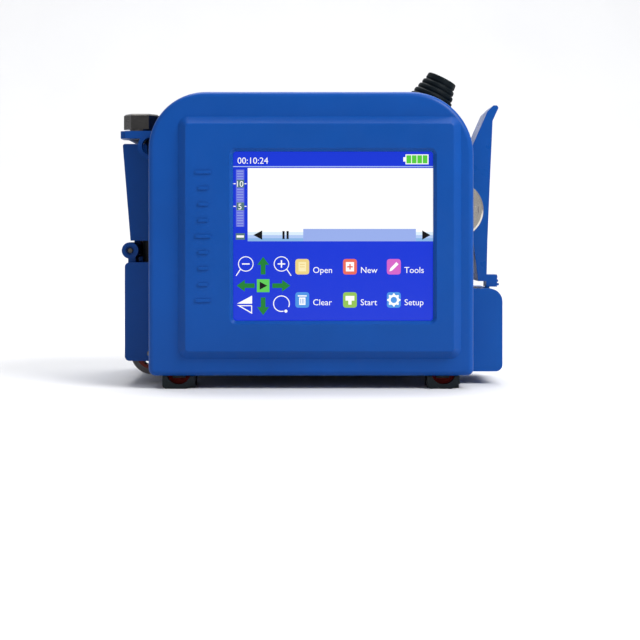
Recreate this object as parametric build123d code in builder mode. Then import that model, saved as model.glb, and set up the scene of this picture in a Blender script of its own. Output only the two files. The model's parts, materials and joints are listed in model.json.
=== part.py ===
"""Portable date code inkjet printer: a hand-held coder as an assembly of separate pieces.

Millimetres. X is to the right as the screen is read, Y goes away from the reader and Z is up.
The origin is at the bottom centre of the whole machine: the guide shoes stand on Z = 0.
"""

from build123d import *
import math
import os

os.makedirs("parts", exist_ok=True)

# Overall sizes
HALF_WIDTH = 62.0  # from the centre to the roof bracket's end and to the corner block's side
DEPTH = 88.0  # from the screen platform to the back
FACE_Y = -DEPTH / 2
BACK_Y = DEPTH / 2
WALL = 2.4  # every moulded wall
FIT = 0.3  # gap between pieces that move past each other
SEAT = 0.15  # gap round a piece that drops into a pocket

# Front shell and its raised screen platform
SHELL_HALF = 51.0
SHELL_BOTTOM = 4.1
SHELL_TOP = 93.2
SHELL_DEPTH = 17.4
SHELL_CORNERS = [18.0, 20.0, 2.2, 2.2]  # top left, top right, bottom right, bottom left
PLATFORM_RISE = 2.3
PLATFORM_X = (-41.7, 47.0)
PLATFORM_Z = (9.5, 85.4)
PLATFORM_CORNER = 3.4
PLATFORM_SLOPE = 47.0  # taper of its border, in degrees
WINDOW_X = (-24.4, 38.2)
WINDOW_Z = (21.4, 74.4)
WINDOW_CORNER = 1.1
WINDOW_BEVEL = 1.0
FLANGE_Y = FACE_Y + PLATFORM_RISE
PART_Y = FLANGE_Y + SHELL_DEPTH  # where the front shell meets the rear shell
MARK_X = -33.6  # centre line of the raised marks beside the window
MARK_COUNT = 9
MARK_PITCH = 5.0
MARK_HALF_LONG = 2.4
MARK_HALF_SHORT = 1.5
MARK_EVERY = 4  # every fourth mark is long
MARK_RISE = 0.4

# Rear shell
REAR_X = (-29.0, 50.0)
REAR_TOP = 91.5
REAR_CORNER = 3.0
BLOCK_TOP = 30.9  # corner block under the lever
BLOCK_CORNER = 4.2
BLOCK_LENGTH = 34.0

# Print button on the slanted top right corner
BUTTON_TILT = 27.0
BUTTON_BASE = (38.35, 89.6)  # where its axis leaves the slanted face, X and Z
BUTTON_Y = -9.0
BUTTON_TRAVEL = 2.5
BUTTON_TOP_R = 5.2
BUTTON_SKIRT_R = 7.4
BUTTON_HEIGHT = 12.0
BUTTON_RIBS = 4
RIB_DEPTH = 0.6
COLLAR_R = 4.3
COLLAR_HEIGHT = 6.0
STEM_R = 2.0
STEM_GAP = 0.06

# Release lever and the slotted screw that it turns on
PIVOT = (46.9, 56.5)
LEVER_Y = (PART_Y + 4.4, PART_Y + 26.4)
HUB_R = 9.3
SCREW_R = 3.0
SCREW_GAP = 0.06
DISC_R = 9.2
DISC_THICK = 2.2
POCKET_X = 36.0
POCKET_TOP = 74.0
POCKET_BACK_Y = LEVER_Y[1] + 1.0

# Cartridge side
BAY_X = (-60.3, REAR_X[0])
BAY_Z = (7.5, 39.4)
BAY_FLOOR = 2.0
WHEEL_ROOM = 11.0  # length of the bay in front of the cartridge, for the encoder wheel
BAY_SIDE = 4.2  # thickness of the bay's outer wall beside the cartridge
CART_LENGTH = 52.0
CART_TOP = 76.0
LID_THICK = 2.2
SNOUT_X = (-51.5, -37.0)
SNOUT_LENGTH = 20.0
SNOUT_Z = 3.0
NOZZLE_THICK = 0.6
NOZZLE_ROW = 13.0  # length of each row of nozzles
CONTACT_LENGTH = 20.0
CONTACT_Z = (20.0, 50.0)
HINGE = (-59.3, 43.2)
KNUCKLE_R = 2.7
PIN_R = 0.95
PIN_GAP = 0.06
DOOR_TOP = (-61.7, 78.1)
DOOR_FOOT = (-59.1, 46.3)
DOOR_CHEEK = 8.0
KNUCKLES = 5
BRACKET_Z = (79.6, 82.0)
RING = (-51.9, 77.0)
RING_R = 4.26
RING_HOLE_R = 2.95
BOLT_XY = (-55.6, -17.5)
BOLT_FLATS = 10.0
BOLT_HEAD = 5.0
BOLT_SHANK_R = 2.5
WASHER_R = 3.8
WASHER_THICK = 0.7
LUG_HALF = 5.2  # half width of the bracket's lug under the bolt

# Guide shoes and rollers
SHOE_WIDTH = 10.1
SHOE_X = 41.6
REAR_SHOE_LEFT_X = -20.5
ROLLER_R = 5.0
ROLLER_WIDTH = 6.0
ROLLER_LIFT = 0.2  # rollers stand this far above the shoes' soles
ROLLER_Z = ROLLER_R + ROLLER_LIFT
AXLE_R = 1.25
AXLE_GAP = 0.05
CHEEK = 2.0
SHOE_TOP = 12.2
WHEEL_R = 7.0
WHEEL_HUB_R = 5.2
WHEEL_WIDTH = 5.0
WHEEL_X = -51.8
WHEEL_LIFT = 2.9  # wheel's lowest point over the soles
WHEEL_SKIN = 1.0  # bay wall left beside the wheel

# Back face
INSERT_X = (-24.5, 45.5)
INSERT_Z = (18.0, 78.0)
INSERT_R = 3.1
INSERT_HOLE_R = 2.0
INSERT_LENGTH = 7.0
COVER_X = (-18.0, 38.0)
COVER_Z = (20.0, 72.0)
COVER_THICK = 1.4
COVER_LEDGE = 2.0
CELL_R = 9.1
CELL_LENGTH = 50.0
CASE_WALL = 1.2
PAD_RISE = 0.4  # how far the grip pad stands out of the back
PORT_Y = 24.0
USB_SIZE = (9.0, 3.3)
USB_Z = 66.0
INLET_R = 4.0
INLET_Z = 54.0
SENSOR_R = 5.0
SENSOR_Z = 41.0
VENT_COUNT = 4
VENT_X = (-2.0, 22.0)
VENT_PITCH = 2.8
VENT_WIDTH = 1.3
SCREW_HEAD_R = 2.8
SCREW_HEAD = 1.6
SCREW_DRIVE_R = 1.3  # radius of the recess in a screw's head
SCREW_SHANK_R = 1.25
SCREW_LENGTH = 9.0


def block(x, y, z, mode=Mode.ADD):
    """Add, or cut, a box given its low and high X, Y and Z."""
    with Locations((sum(x) / 2, sum(y) / 2, sum(z) / 2)):
        Box(x[1] - x[0], y[1] - y[0], z[1] - z[0], mode=mode)


def front_plane(y):
    """The plane at Y = y that faces the reader: its x is X and its y is Z."""
    return Plane.XZ.offset(-y)


def rod(x, z, radius, y, mode=Mode.ADD):
    """Add, or cut, a cylinder along Y at X, Z between two values of Y."""
    with Locations(Location((x, sum(y) / 2, z), (90, 0, 0))):
        Cylinder(radius, y[1] - y[0], mode=mode)


def post(x, y, radius, z, mode=Mode.ADD):
    """Add, or cut, a cylinder along Z at X, Y between two values of Z."""
    with Locations((x, y, sum(z) / 2)):
        Cylinder(radius, z[1] - z[0], mode=mode)


def side_rod(y, z, radius, x, mode=Mode.ADD):
    """Add, or cut, a cylinder along X at Y, Z between two values of X."""
    with Locations(Location((sum(x) / 2, y, z), (0, 90, 0))):
        Cylinder(radius, x[1] - x[0], mode=mode)


def rounded_panel(y, x, z, corners, inset=0.0):
    """A panel facing the reader, with its own radius at each corner, drawn in by an inset."""
    left, right = x[0] + inset, x[1] - inset
    low, high = z[0] + inset, z[1] - inset
    with BuildSketch(front_plane(y)) as panel:
        with BuildLine():
            FilletPolyline(
                (left, high),
                (right, high),
                (right, low),
                (left, low),
                radius=[max(radius - inset, 0.5) for radius in corners],
                close=True,
            )
        make_face()
    return panel.sketch


def save(piece, name):
    """Label one finished piece and write it."""
    piece.part.label = name
    export_step(piece.part, f"parts/{name}.step")


def screen_stack_y(start, thick):
    """Low and high Y of a layer behind the window, given its start and thickness."""
    return (start, start + thick)


SHELL_X = (-SHELL_HALF, SHELL_HALF)
SHELL_Z = (SHELL_BOTTOM, SHELL_TOP)
PANEL_INNER_Y = FACE_Y + WALL
PLATFORM_CORNERS = [PLATFORM_CORNER] * 4
WINDOW_CORNERS = [WINDOW_CORNER] * 4
WINDOW_MID = (sum(WINDOW_X) / 2, sum(WINDOW_Z) / 2)

# Layers behind the window
GASKET_Y = screen_stack_y(PANEL_INNER_Y, 0.6)
GLASS_Y = screen_stack_y(GASKET_Y[1], 1.1)
LCD_Y = screen_stack_y(GLASS_Y[1], 2.8)
LCD_FRAME_Y = screen_stack_y(LCD_Y[1], 1.2)
STACK_EDGE = 2.5  # how far the layers reach past the window
BOARD_Y = screen_stack_y(LCD_FRAME_Y[1] + 3.0, 1.6)
FRAME_RIM = 1.2
SPACER_R = 2.2
SPACER_ROOT = 0.05  # how far a spacer starts inside the front wall, clear of the platform's slope
SPACER_REACH = STACK_EDGE + FRAME_RIM + SPACER_R + 0.6
SPACER_X = (WINDOW_X[0] - SPACER_REACH, WINDOW_X[1] + SPACER_REACH)
SPACER_Z = (WINDOW_Z[0] + 5.0, WINDOW_Z[1] - 2.5)
BOARD_EDGE = 3.0  # from a spacer's axis to the board's edge
BOARD_X = (SPACER_X[0] - BOARD_EDGE, SPACER_X[1] + BOARD_EDGE)
BOARD_Z = (SPACER_Z[0] - BOARD_EDGE, SPACER_Z[1] + BOARD_EDGE)
SPACER_POINTS = [(x, z) for x in SPACER_X for z in SPACER_Z]

# Guide shoes: centre in X, Y of the sole's toe, and which way the toe points
SHOES = {
    "front_left": (-SHOE_X, FACE_Y + 3.5, 1),
    "front_right": (SHOE_X, FACE_Y + 3.5, 1),
    "rear_left": (REAR_SHOE_LEFT_X, BACK_Y - 1.0, -1),
    "rear_right": (SHOE_X, BACK_Y - 1.0, -1),
}
NEAR_CHEEK = (2.8, 2.8 + CHEEK)
ROLLER_SPAN = (NEAR_CHEEK[1] + FIT, NEAR_CHEEK[1] + FIT + ROLLER_WIDTH)
FAR_CHEEK = (ROLLER_SPAN[1] + FIT, ROLLER_SPAN[1] + FIT + CHEEK)


def shoe_span(toe_y, way, start, end):
    """Low and high Y of a stretch of a shoe, measured from its toe."""
    return tuple(sorted((toe_y + way * start, toe_y + way * end)))


def shoe_slot(name):
    """Cut the slot that one guide shoe's cheeks and roller pass through."""
    x, toe_y, way = SHOES[name]
    half = SHOE_WIDTH / 2 + SEAT
    span = shoe_span(toe_y, way, NEAR_CHEEK[0] - SEAT, FAR_CHEEK[1] + SEAT)
    block((x - half, x + half), span, (SHELL_BOTTOM - 1.0, SHELL_BOTTOM + WALL + 1.0), Mode.SUBTRACT)


# Front shell: a deep lid with the platform raised on its face
with BuildPart() as front_shell:
    extrude(rounded_panel(PART_Y, SHELL_X, SHELL_Z, SHELL_CORNERS), amount=SHELL_DEPTH)
    fillet(front_shell.edges().group_by(Axis.Y)[0], radius=1.8)
    platform = rounded_panel(FLANGE_Y, PLATFORM_X, PLATFORM_Z, PLATFORM_CORNERS)
    extrude(platform, amount=PLATFORM_RISE, taper=PLATFORM_SLOPE)
    fillet(front_shell.edges().group_by(Axis.Y)[0], radius=0.6)
    cavity = rounded_panel(PART_Y, SHELL_X, SHELL_Z, SHELL_CORNERS, WALL)
    extrude(cavity, amount=SHELL_DEPTH - WALL, mode=Mode.SUBTRACT)
    recess = rounded_panel(FLANGE_Y + WALL, PLATFORM_X, PLATFORM_Z, PLATFORM_CORNERS, WALL + 1.0)
    extrude(recess, amount=PLATFORM_RISE, mode=Mode.SUBTRACT)
    window = rounded_panel(PANEL_INNER_Y, WINDOW_X, WINDOW_Z, WINDOW_CORNERS)
    extrude(window, amount=WALL, mode=Mode.SUBTRACT)
    bevel = rounded_panel(FACE_Y, WINDOW_X, WINDOW_Z, WINDOW_CORNERS, -WINDOW_BEVEL)
    extrude(bevel, amount=-WINDOW_BEVEL, taper=45, mode=Mode.SUBTRACT)
    for shoe_name in ("front_left", "front_right"):
        shoe_slot(shoe_name)
    for index in range(MARK_COUNT):
        mark_z = WINDOW_MID[1] + (index - (MARK_COUNT - 1) / 2) * MARK_PITCH
        mark_half = MARK_HALF_LONG if index % MARK_EVERY == 0 else MARK_HALF_SHORT
        mark_y = (FACE_Y - MARK_RISE, FACE_Y + 1.0)
        block((MARK_X - mark_half, MARK_X + mark_half), mark_y, (mark_z - 0.5, mark_z + 0.5))
    for spacer_x, spacer_z in SPACER_POINTS:
        rod(spacer_x, spacer_z, SPACER_R, (PANEL_INNER_Y - SPACER_ROOT, BOARD_Y[0]))
save(front_shell, "front_shell")


def button_plane(height=0.0):
    """The plane square to the print button's axis, at a height above the slanted face."""
    tilt = math.radians(BUTTON_TILT)
    along = (math.sin(tilt), 0, math.cos(tilt))
    across = (math.cos(tilt), 0, -math.sin(tilt))
    base = (BUTTON_BASE[0], BUTTON_Y, BUTTON_BASE[1])
    return Plane(origin=base, x_dir=across, z_dir=along).offset(height)


def button_disc(radius, low, high):
    """A cylinder on the print button's axis between two heights."""
    with BuildPart() as disc:
        with BuildSketch(button_plane(low)):
            Circle(radius)
        extrude(amount=high - low)
    return disc.part


def rear_outline(y, inset=0.0):
    """The rear shell's outline: a box whose top right corner is cut square to the button."""
    slope = math.tan(math.radians(BUTTON_TILT))
    back = inset / math.cos(math.radians(BUTTON_TILT))
    base_x, base_z = BUTTON_BASE
    left, right = REAR_X[0] + inset, REAR_X[1] - inset
    low, high = SHELL_BOTTOM + inset, REAR_TOP - inset
    slant_x = base_x - (high - base_z + back) / slope
    slant_z = base_z - back - (right - base_x) * slope
    corner = max(REAR_CORNER - inset, 0.6)
    with BuildSketch(front_plane(y)) as outline:
        with BuildLine():
            FilletPolyline(
                (left, high),
                (slant_x, high),
                (right, slant_z),
                (right, low),
                (left, low),
                radius=corner,
                close=True,
            )
        make_face()
    return outline.sketch


REAR_DEPTH = BACK_Y - PART_Y
INNER_BACK_Y = BACK_Y - WALL
BLOCK_X = (POCKET_X, HALF_WIDTH)
BLOCK_Y = (PART_Y, PART_Y + BLOCK_LENGTH)
BLOCK_Z = (SHELL_BOTTOM, BLOCK_TOP)
BLOCK_CORNERS = [1.0, BLOCK_CORNER, 2.2, 1.0]
POCKET_FRONT_Y = PART_Y + 1.6
BOSS_DEPTH = 6.0
CART_X = (BAY_X[0] + BAY_SIDE + FIT, BAY_X[1] - WALL - FIT)
CART_Y = (PART_Y + WHEEL_ROOM + FIT, PART_Y + WHEEL_ROOM + FIT + CART_LENGTH)
BAY_BACK_Y = CART_Y[1] + FIT + WALL
FLOOR_Z = BAY_Z[0] + BAY_FLOOR
CART_MID_Y = sum(CART_Y) / 2
CONTACT_Y = (CART_MID_Y - CONTACT_LENGTH / 2, CART_MID_Y + CONTACT_LENGTH / 2)
CONTACT_X = (CART_X[1], REAR_X[0] + WALL)
COVER_MID_X = sum(COVER_X) / 2
INSERTS = [(x, z) for x in INSERT_X for z in INSERT_Z]
SHELL_SCREWS = [(-22.0, REAR_TOP - 6.5), (28.0, REAR_TOP - 6.5), (-8.0, 11.5), (28.0, 11.5)]
SLIDER_X = (57.8, 62.0)
SLIDER_TRAVEL = 4.0
SLIDER_LENGTH = 9.0
SLIDER_HEIGHT = 4.0
SLIDER_RIBS = 3
SLIDER_Y = (PART_Y + 10.0, PART_Y + 10.0 + SLIDER_LENGTH)
SLIDER_STEM_X = (57.9, 59.2)
SLIDER_STEM_Y = (SLIDER_Y[0] + 3.0, SLIDER_Y[0] + 6.0)

# Rear shell: a deep tray with the lever's pocket, the corner block and the back's openings
with BuildPart() as rear_shell:
    extrude(rear_outline(BACK_Y), amount=REAR_DEPTH)
    fillet(rear_shell.edges().group_by(Axis.Y)[-1], radius=2.0)
    extrude(rounded_panel(BLOCK_Y[1], BLOCK_X, BLOCK_Z, BLOCK_CORNERS), amount=BLOCK_LENGTH)
    extrude(rear_outline(INNER_BACK_Y, WALL), amount=REAR_DEPTH, mode=Mode.SUBTRACT)
    hollow = rounded_panel(BLOCK_Y[1] - WALL, BLOCK_X, BLOCK_Z, BLOCK_CORNERS, WALL)
    extrude(hollow, amount=BLOCK_LENGTH - 2 * WALL, mode=Mode.SUBTRACT)
    pocket_wall_y = (PART_Y, POCKET_BACK_Y + WALL)
    block((POCKET_X - WALL, REAR_X[1]), pocket_wall_y, (BLOCK_TOP - WALL, POCKET_TOP + WALL))
    pocket_y = (POCKET_FRONT_Y, POCKET_BACK_Y)
    block((POCKET_X, REAR_X[1] + 1.0), pocket_y, (BLOCK_TOP, POCKET_TOP), Mode.SUBTRACT)
    rod(*PIVOT, SCREW_R + WALL - 0.6, (POCKET_BACK_Y, POCKET_BACK_Y + BOSS_DEPTH))
    rod(*PIVOT, SCREW_R, (POCKET_BACK_Y - 1.0, POCKET_BACK_Y + BOSS_DEPTH), Mode.SUBTRACT)
    for shoe_name in ("rear_left", "rear_right"):
        shoe_slot(shoe_name)
    for insert_x, insert_z in INSERTS:
        rod(insert_x, insert_z, INSERT_R + 1.2, (BACK_Y - INSERT_LENGTH - 1.0, INNER_BACK_Y + 0.5))
        rod(insert_x, insert_z, INSERT_R, (BACK_Y - INSERT_LENGTH, BACK_Y + 1.0), Mode.SUBTRACT)
    for screw_x, screw_z in SHELL_SCREWS:
        rod(screw_x, screw_z, SCREW_HEAD_R + 1.0, (BACK_Y - SCREW_LENGTH, INNER_BACK_Y + 0.5))
        rod(screw_x, screw_z, SCREW_HEAD_R + SEAT, (BACK_Y - SCREW_HEAD, BACK_Y + 1.0), Mode.SUBTRACT)
        rod(screw_x, screw_z, SCREW_SHANK_R, (BACK_Y - SCREW_LENGTH - 1.0, BACK_Y), Mode.SUBTRACT)
    cover_recess = rounded_panel(BACK_Y + 1.0, COVER_X, COVER_Z, [3.0] * 4)
    extrude(cover_recess, amount=COVER_THICK + 1.0, mode=Mode.SUBTRACT)
    cover_hole = rounded_panel(BACK_Y, COVER_X, COVER_Z, [3.0] * 4, COVER_LEDGE)
    extrude(cover_hole, amount=WALL + 1.0, mode=Mode.SUBTRACT)
    usb_y = (PORT_Y - USB_SIZE[0] / 2, PORT_Y + USB_SIZE[0] / 2)
    usb_z = (USB_Z - USB_SIZE[1] / 2, USB_Z + USB_SIZE[1] / 2)
    port_wall = (REAR_X[1] - WALL - 1.0, REAR_X[1] + 1.0)
    block(port_wall, usb_y, usb_z, Mode.SUBTRACT)
    side_rod(PORT_Y, INLET_Z, INLET_R, port_wall, Mode.SUBTRACT)
    side_rod(PORT_Y, SENSOR_Z, SENSOR_R, port_wall, Mode.SUBTRACT)
    for index in range(VENT_COUNT):
        vent_z = COVER_Z[1] + 5.0 + index * VENT_PITCH
        block(VENT_X, (INNER_BACK_Y - 1.0, BACK_Y + 1.0), (vent_z, vent_z + VENT_WIDTH), Mode.SUBTRACT)
    left_wall = (REAR_X[0] - 1.0, REAR_X[0] + WALL + 1.0)
    block(left_wall, CONTACT_Y, CONTACT_Z, Mode.SUBTRACT)
    slot_y = (SLIDER_STEM_Y[0] - FIT, SLIDER_STEM_Y[1] + SLIDER_TRAVEL + FIT)
    slot_x = (SLIDER_STEM_X[0] - FIT, SLIDER_STEM_X[1] + FIT)
    block(slot_x, slot_y, (BLOCK_TOP - WALL - 1.0, BLOCK_TOP + 1.0), Mode.SUBTRACT)
    add(button_disc(COLLAR_R, -WALL - 2.0, 4.0), mode=Mode.SUBTRACT)
save(rear_shell, "rear_shell")

# Cartridge bay: open box under the door, with the encoder wheel's room in front
WHEEL_ROOM_Y = (PART_Y + WALL, PART_Y + WHEEL_ROOM - WALL)
WHEEL_Z = WHEEL_R + WHEEL_LIFT
DOOR_Y = (PART_Y + 5.8, CART_Y[1])
KNUCKLE_STEP = (DOOR_Y[1] - DOOR_Y[0]) / KNUCKLES


def knuckle_span(index):
    """Low and high Y of one hinge knuckle, with a gap to its neighbours."""
    low = DOOR_Y[0] + index * KNUCKLE_STEP
    return (low + FIT / 2, low + KNUCKLE_STEP - FIT / 2)


with BuildPart() as cartridge_bay:
    block(BAY_X, (PART_Y, BAY_BACK_Y), BAY_Z)
    fillet(cartridge_bay.edges().filter_by(Axis.Y).group_by(Axis.X)[0], radius=1.5)
    cart_room_x = (CART_X[0] - FIT, CART_X[1] + FIT)
    cart_room_y = (CART_Y[0] - FIT, CART_Y[1] + FIT)
    block(cart_room_x, cart_room_y, (FLOOR_Z, BAY_Z[1] + 1.0), Mode.SUBTRACT)
    snout_y = (CART_MID_Y - SNOUT_LENGTH / 2, CART_MID_Y + SNOUT_LENGTH / 2)
    snout_room_y = (snout_y[0] - FIT, snout_y[1] + FIT)
    block((SNOUT_X[0] - FIT, SNOUT_X[1] + FIT), snout_room_y, (BAY_Z[0] - 1.0, FLOOR_Z + 1.0), Mode.SUBTRACT)
    wheel_room_x = (BAY_X[0] + WHEEL_SKIN, REAR_X[0] - WALL)
    block(wheel_room_x, WHEEL_ROOM_Y, (BAY_Z[0] - 1.0, BAY_Z[1] - WALL), Mode.SUBTRACT)
    rod(WHEEL_X, WHEEL_Z, AXLE_R + 1.4, (PART_Y, WHEEL_ROOM_Y[0]))
    rod(WHEEL_X, WHEEL_Z, AXLE_R + 1.4, (WHEEL_ROOM_Y[1], WHEEL_ROOM_Y[1] + WALL))
    rod(WHEEL_X, WHEEL_Z, AXLE_R, (PART_Y - 1.0, CART_Y[0]), Mode.SUBTRACT)
    block(BAY_X, (BAY_BACK_Y - WALL, BAY_BACK_Y), (BAY_Z[1] - 1.0, BRACKET_Z[0]))
    block((BAY_X[1] - WALL - 1.0, BAY_X[1] + 1.0), CONTACT_Y, CONTACT_Z, Mode.SUBTRACT)
    for index in range(0, KNUCKLES, 2):
        span = knuckle_span(index)
        rod(*HINGE, KNUCKLE_R, span)
        block((HINGE[0] - 0.6, HINGE[0] + 1.8), span, (BAY_Z[1] - 1.0, HINGE[1]))
    rod(*HINGE, PIN_R, (DOOR_Y[0] - 1.0, DOOR_Y[1] + 1.0), Mode.SUBTRACT)
    rod(*HINGE, PIN_R + 0.5, (DOOR_Y[0] - 1.0, DOOR_Y[0] + 1.0), Mode.SUBTRACT)
save(cartridge_bay, "cartridge_bay")

# Cartridge door: a leaning panel with a cheek across its front, on two knuckles
with BuildPart() as cartridge_door:
    panel_points = [
        DOOR_TOP,
        (DOOR_TOP[0] + WALL, DOOR_TOP[1]),
        (DOOR_FOOT[0] + WALL, DOOR_FOOT[1] + 0.1),
        (DOOR_FOOT[0], DOOR_FOOT[1] + 0.1),
    ]
    cheek_points = [
        DOOR_TOP,
        (DOOR_TOP[0] + DOOR_CHEEK, DOOR_TOP[1]),
        (DOOR_FOOT[0] + DOOR_CHEEK, DOOR_FOOT[1] + 0.1),
        (DOOR_FOOT[0], DOOR_FOOT[1] + 0.1),
    ]
    with BuildSketch(front_plane(DOOR_Y[1])):
        Polygon(*panel_points, align=None)
    extrude(amount=DOOR_Y[1] - DOOR_Y[0])
    with BuildSketch(front_plane(DOOR_Y[0] + WALL)):
        Polygon(*cheek_points, align=None)
    extrude(amount=WALL)
    fillet(cartridge_door.edges().group_by(Axis.Z)[-1].filter_by(Axis.Y), radius=0.8)
    for index in range(1, KNUCKLES, 2):
        span = knuckle_span(index)
        rod(*HINGE, KNUCKLE_R, span)
        block((DOOR_FOOT[0], DOOR_FOOT[0] + WALL - 0.4), span, (HINGE[1], DOOR_FOOT[1] + 1.0))
    rod(*HINGE, PIN_R + PIN_GAP, DOOR_Y, Mode.SUBTRACT)
save(cartridge_door, "cartridge_door")

with BuildPart() as door_pin:
    rod(*HINGE, PIN_R, (DOOR_Y[0] + 0.6, DOOR_Y[1] - 0.6))
    chamfer(door_pin.edges().group_by(Axis.Y)[0], length=0.2)
save(door_pin, "door_pin")

# Roof bracket over the cartridge, with the bolt's lug and the strap ring
BRACKET_Y = (PART_Y + FIT, BAY_BACK_Y)
LUG_Y = (BOLT_XY[1] - LUG_HALF, BOLT_XY[1] + LUG_HALF)
RING_Y = (BRACKET_Y[0], BRACKET_Y[0] + 3.2)
with BuildPart() as roof_bracket:
    block(BAY_X, BRACKET_Y, BRACKET_Z)
    block((-HALF_WIDTH, BAY_X[0] + 1.0), LUG_Y, BRACKET_Z)
    fillet(roof_bracket.edges().filter_by(Axis.Z).group_by(Axis.X)[0], radius=1.5)
    rod(*RING, RING_R, RING_Y)
    rod(*RING, RING_HOLE_R, (RING_Y[0] - 1.0, RING_Y[1] + 1.0), Mode.SUBTRACT)
    post(*BOLT_XY, BOLT_SHANK_R, (BRACKET_Z[0] - 1.0, BRACKET_Z[1] + 1.0), Mode.SUBTRACT)
save(roof_bracket, "roof_bracket")

HEAD_Z = BRACKET_Z[1] + WASHER_THICK
with BuildPart() as hex_bolt:
    with BuildSketch(Plane.XY.offset(HEAD_Z)):
        with Locations(BOLT_XY):
            RegularPolygon(BOLT_FLATS / 2, 6, major_radius=False)
    extrude(amount=BOLT_HEAD)
    chamfer(hex_bolt.edges().group_by(Axis.Z)[-1], length=0.5)
    post(*BOLT_XY, BOLT_SHANK_R, (BRACKET_Z[0], HEAD_Z))
save(hex_bolt, "hex_bolt")

with BuildPart() as bolt_washer:
    post(*BOLT_XY, WASHER_R, (BRACKET_Z[1], HEAD_Z))
    post(*BOLT_XY, BOLT_SHANK_R, (BRACKET_Z[1], HEAD_Z), Mode.SUBTRACT)
save(bolt_washer, "bolt_washer")

# Ink cartridge and the contacts that press on its side
with BuildPart() as cartridge_body:
    block(CART_X, CART_Y, (FLOOR_Z, CART_TOP))
    fillet(cartridge_body.edges().filter_by(Axis.Z), radius=1.5)
    block(SNOUT_X, snout_y, (SNOUT_Z, FLOOR_Z))
save(cartridge_body, "cartridge_body")

FILL_MARK_R = 2.0  # shallow round mark in the middle of the lid
with BuildPart() as cartridge_lid:
    block(CART_X, CART_Y, (CART_TOP, CART_TOP + LID_THICK))
    fillet(cartridge_lid.edges().filter_by(Axis.Z), radius=1.5)
    fillet(cartridge_lid.edges().group_by(Axis.Z)[-1], radius=0.6)
    lid_top = CART_TOP + LID_THICK
    post(sum(CART_X) / 2, CART_MID_Y, FILL_MARK_R, (lid_top - 0.6, lid_top + 1.0), Mode.SUBTRACT)
save(cartridge_lid, "cartridge_lid")

with BuildPart() as nozzle_plate:
    block(SNOUT_X, snout_y, (SNOUT_Z - NOZZLE_THICK, SNOUT_Z))
    for offset_x in (-2.0, 2.0):
        row_x = sum(SNOUT_X) / 2 + offset_x
        row_z = (SNOUT_Z - NOZZLE_THICK - 1.0, SNOUT_Z - NOZZLE_THICK + 0.2)
        row_y = (CART_MID_Y - NOZZLE_ROW / 2, CART_MID_Y + NOZZLE_ROW / 2)
        block((row_x - 0.25, row_x + 0.25), row_y, row_z, Mode.SUBTRACT)
save(nozzle_plate, "nozzle_plate")

with BuildPart() as contact_block:
    block(CONTACT_X, CONTACT_Y, CONTACT_Z)
save(contact_block, "contact_block")

DRIVER_X = (CONTACT_X[1], CONTACT_X[1] + 1.6)
with BuildPart() as driver_board:
    block(DRIVER_X, (CONTACT_Y[0] - 8.0, CONTACT_Y[1] + 4.0), (CONTACT_Z[0] - 4.0, CONTACT_Z[1] + 8.0))
save(driver_board, "driver_board")

# Encoder wheel: hub, tyre, axle and the sensor over it
WHEEL_Y = (WHEEL_ROOM_Y[0] + 0.5, WHEEL_ROOM_Y[0] + 0.5 + WHEEL_WIDTH)
HUB_HOLE_R = 0.9
HUB_HOLE_RING = 3.3  # radius of the circle that the hub's holes lie on
with BuildPart() as encoder_hub:
    rod(WHEEL_X, WHEEL_Z, WHEEL_HUB_R, WHEEL_Y)
    rod(WHEEL_X, WHEEL_Z, AXLE_R + AXLE_GAP, WHEEL_Y, Mode.SUBTRACT)
    for angle in range(0, 360, 60):
        hole_x = WHEEL_X + HUB_HOLE_RING * math.cos(math.radians(angle))
        hole_z = WHEEL_Z + HUB_HOLE_RING * math.sin(math.radians(angle))
        rod(hole_x, hole_z, HUB_HOLE_R, WHEEL_Y, Mode.SUBTRACT)
save(encoder_hub, "encoder_hub")

with BuildPart() as encoder_tyre:
    rod(WHEEL_X, WHEEL_Z, WHEEL_R, WHEEL_Y)
    fillet(encoder_tyre.edges().filter_by(GeomType.CIRCLE), radius=0.8)
    rod(WHEEL_X, WHEEL_Z, WHEEL_HUB_R, WHEEL_Y, Mode.SUBTRACT)
save(encoder_tyre, "encoder_tyre")

with BuildPart() as encoder_axle:
    rod(WHEEL_X, WHEEL_Z, AXLE_R, (PART_Y, WHEEL_ROOM_Y[1] + WALL))
save(encoder_axle, "encoder_axle")

with BuildPart() as encoder_sensor:
    sensor_low = WHEEL_Z + WHEEL_R + 0.8
    block((WHEEL_X - 4.0, WHEEL_X + 4.0), (WHEEL_ROOM_Y[0], WHEEL_Y[1]), (sensor_low, sensor_low + 6.0))
    fillet(encoder_sensor.edges().filter_by(Axis.Y), radius=0.5)
save(encoder_sensor, "encoder_sensor")

# Guide shoes, with a cradle at the toe, their rollers and axles
NOTCH_R = 3.8
HANGER = 4.0  # width of the arm that holds the axle in front of the roller


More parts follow.
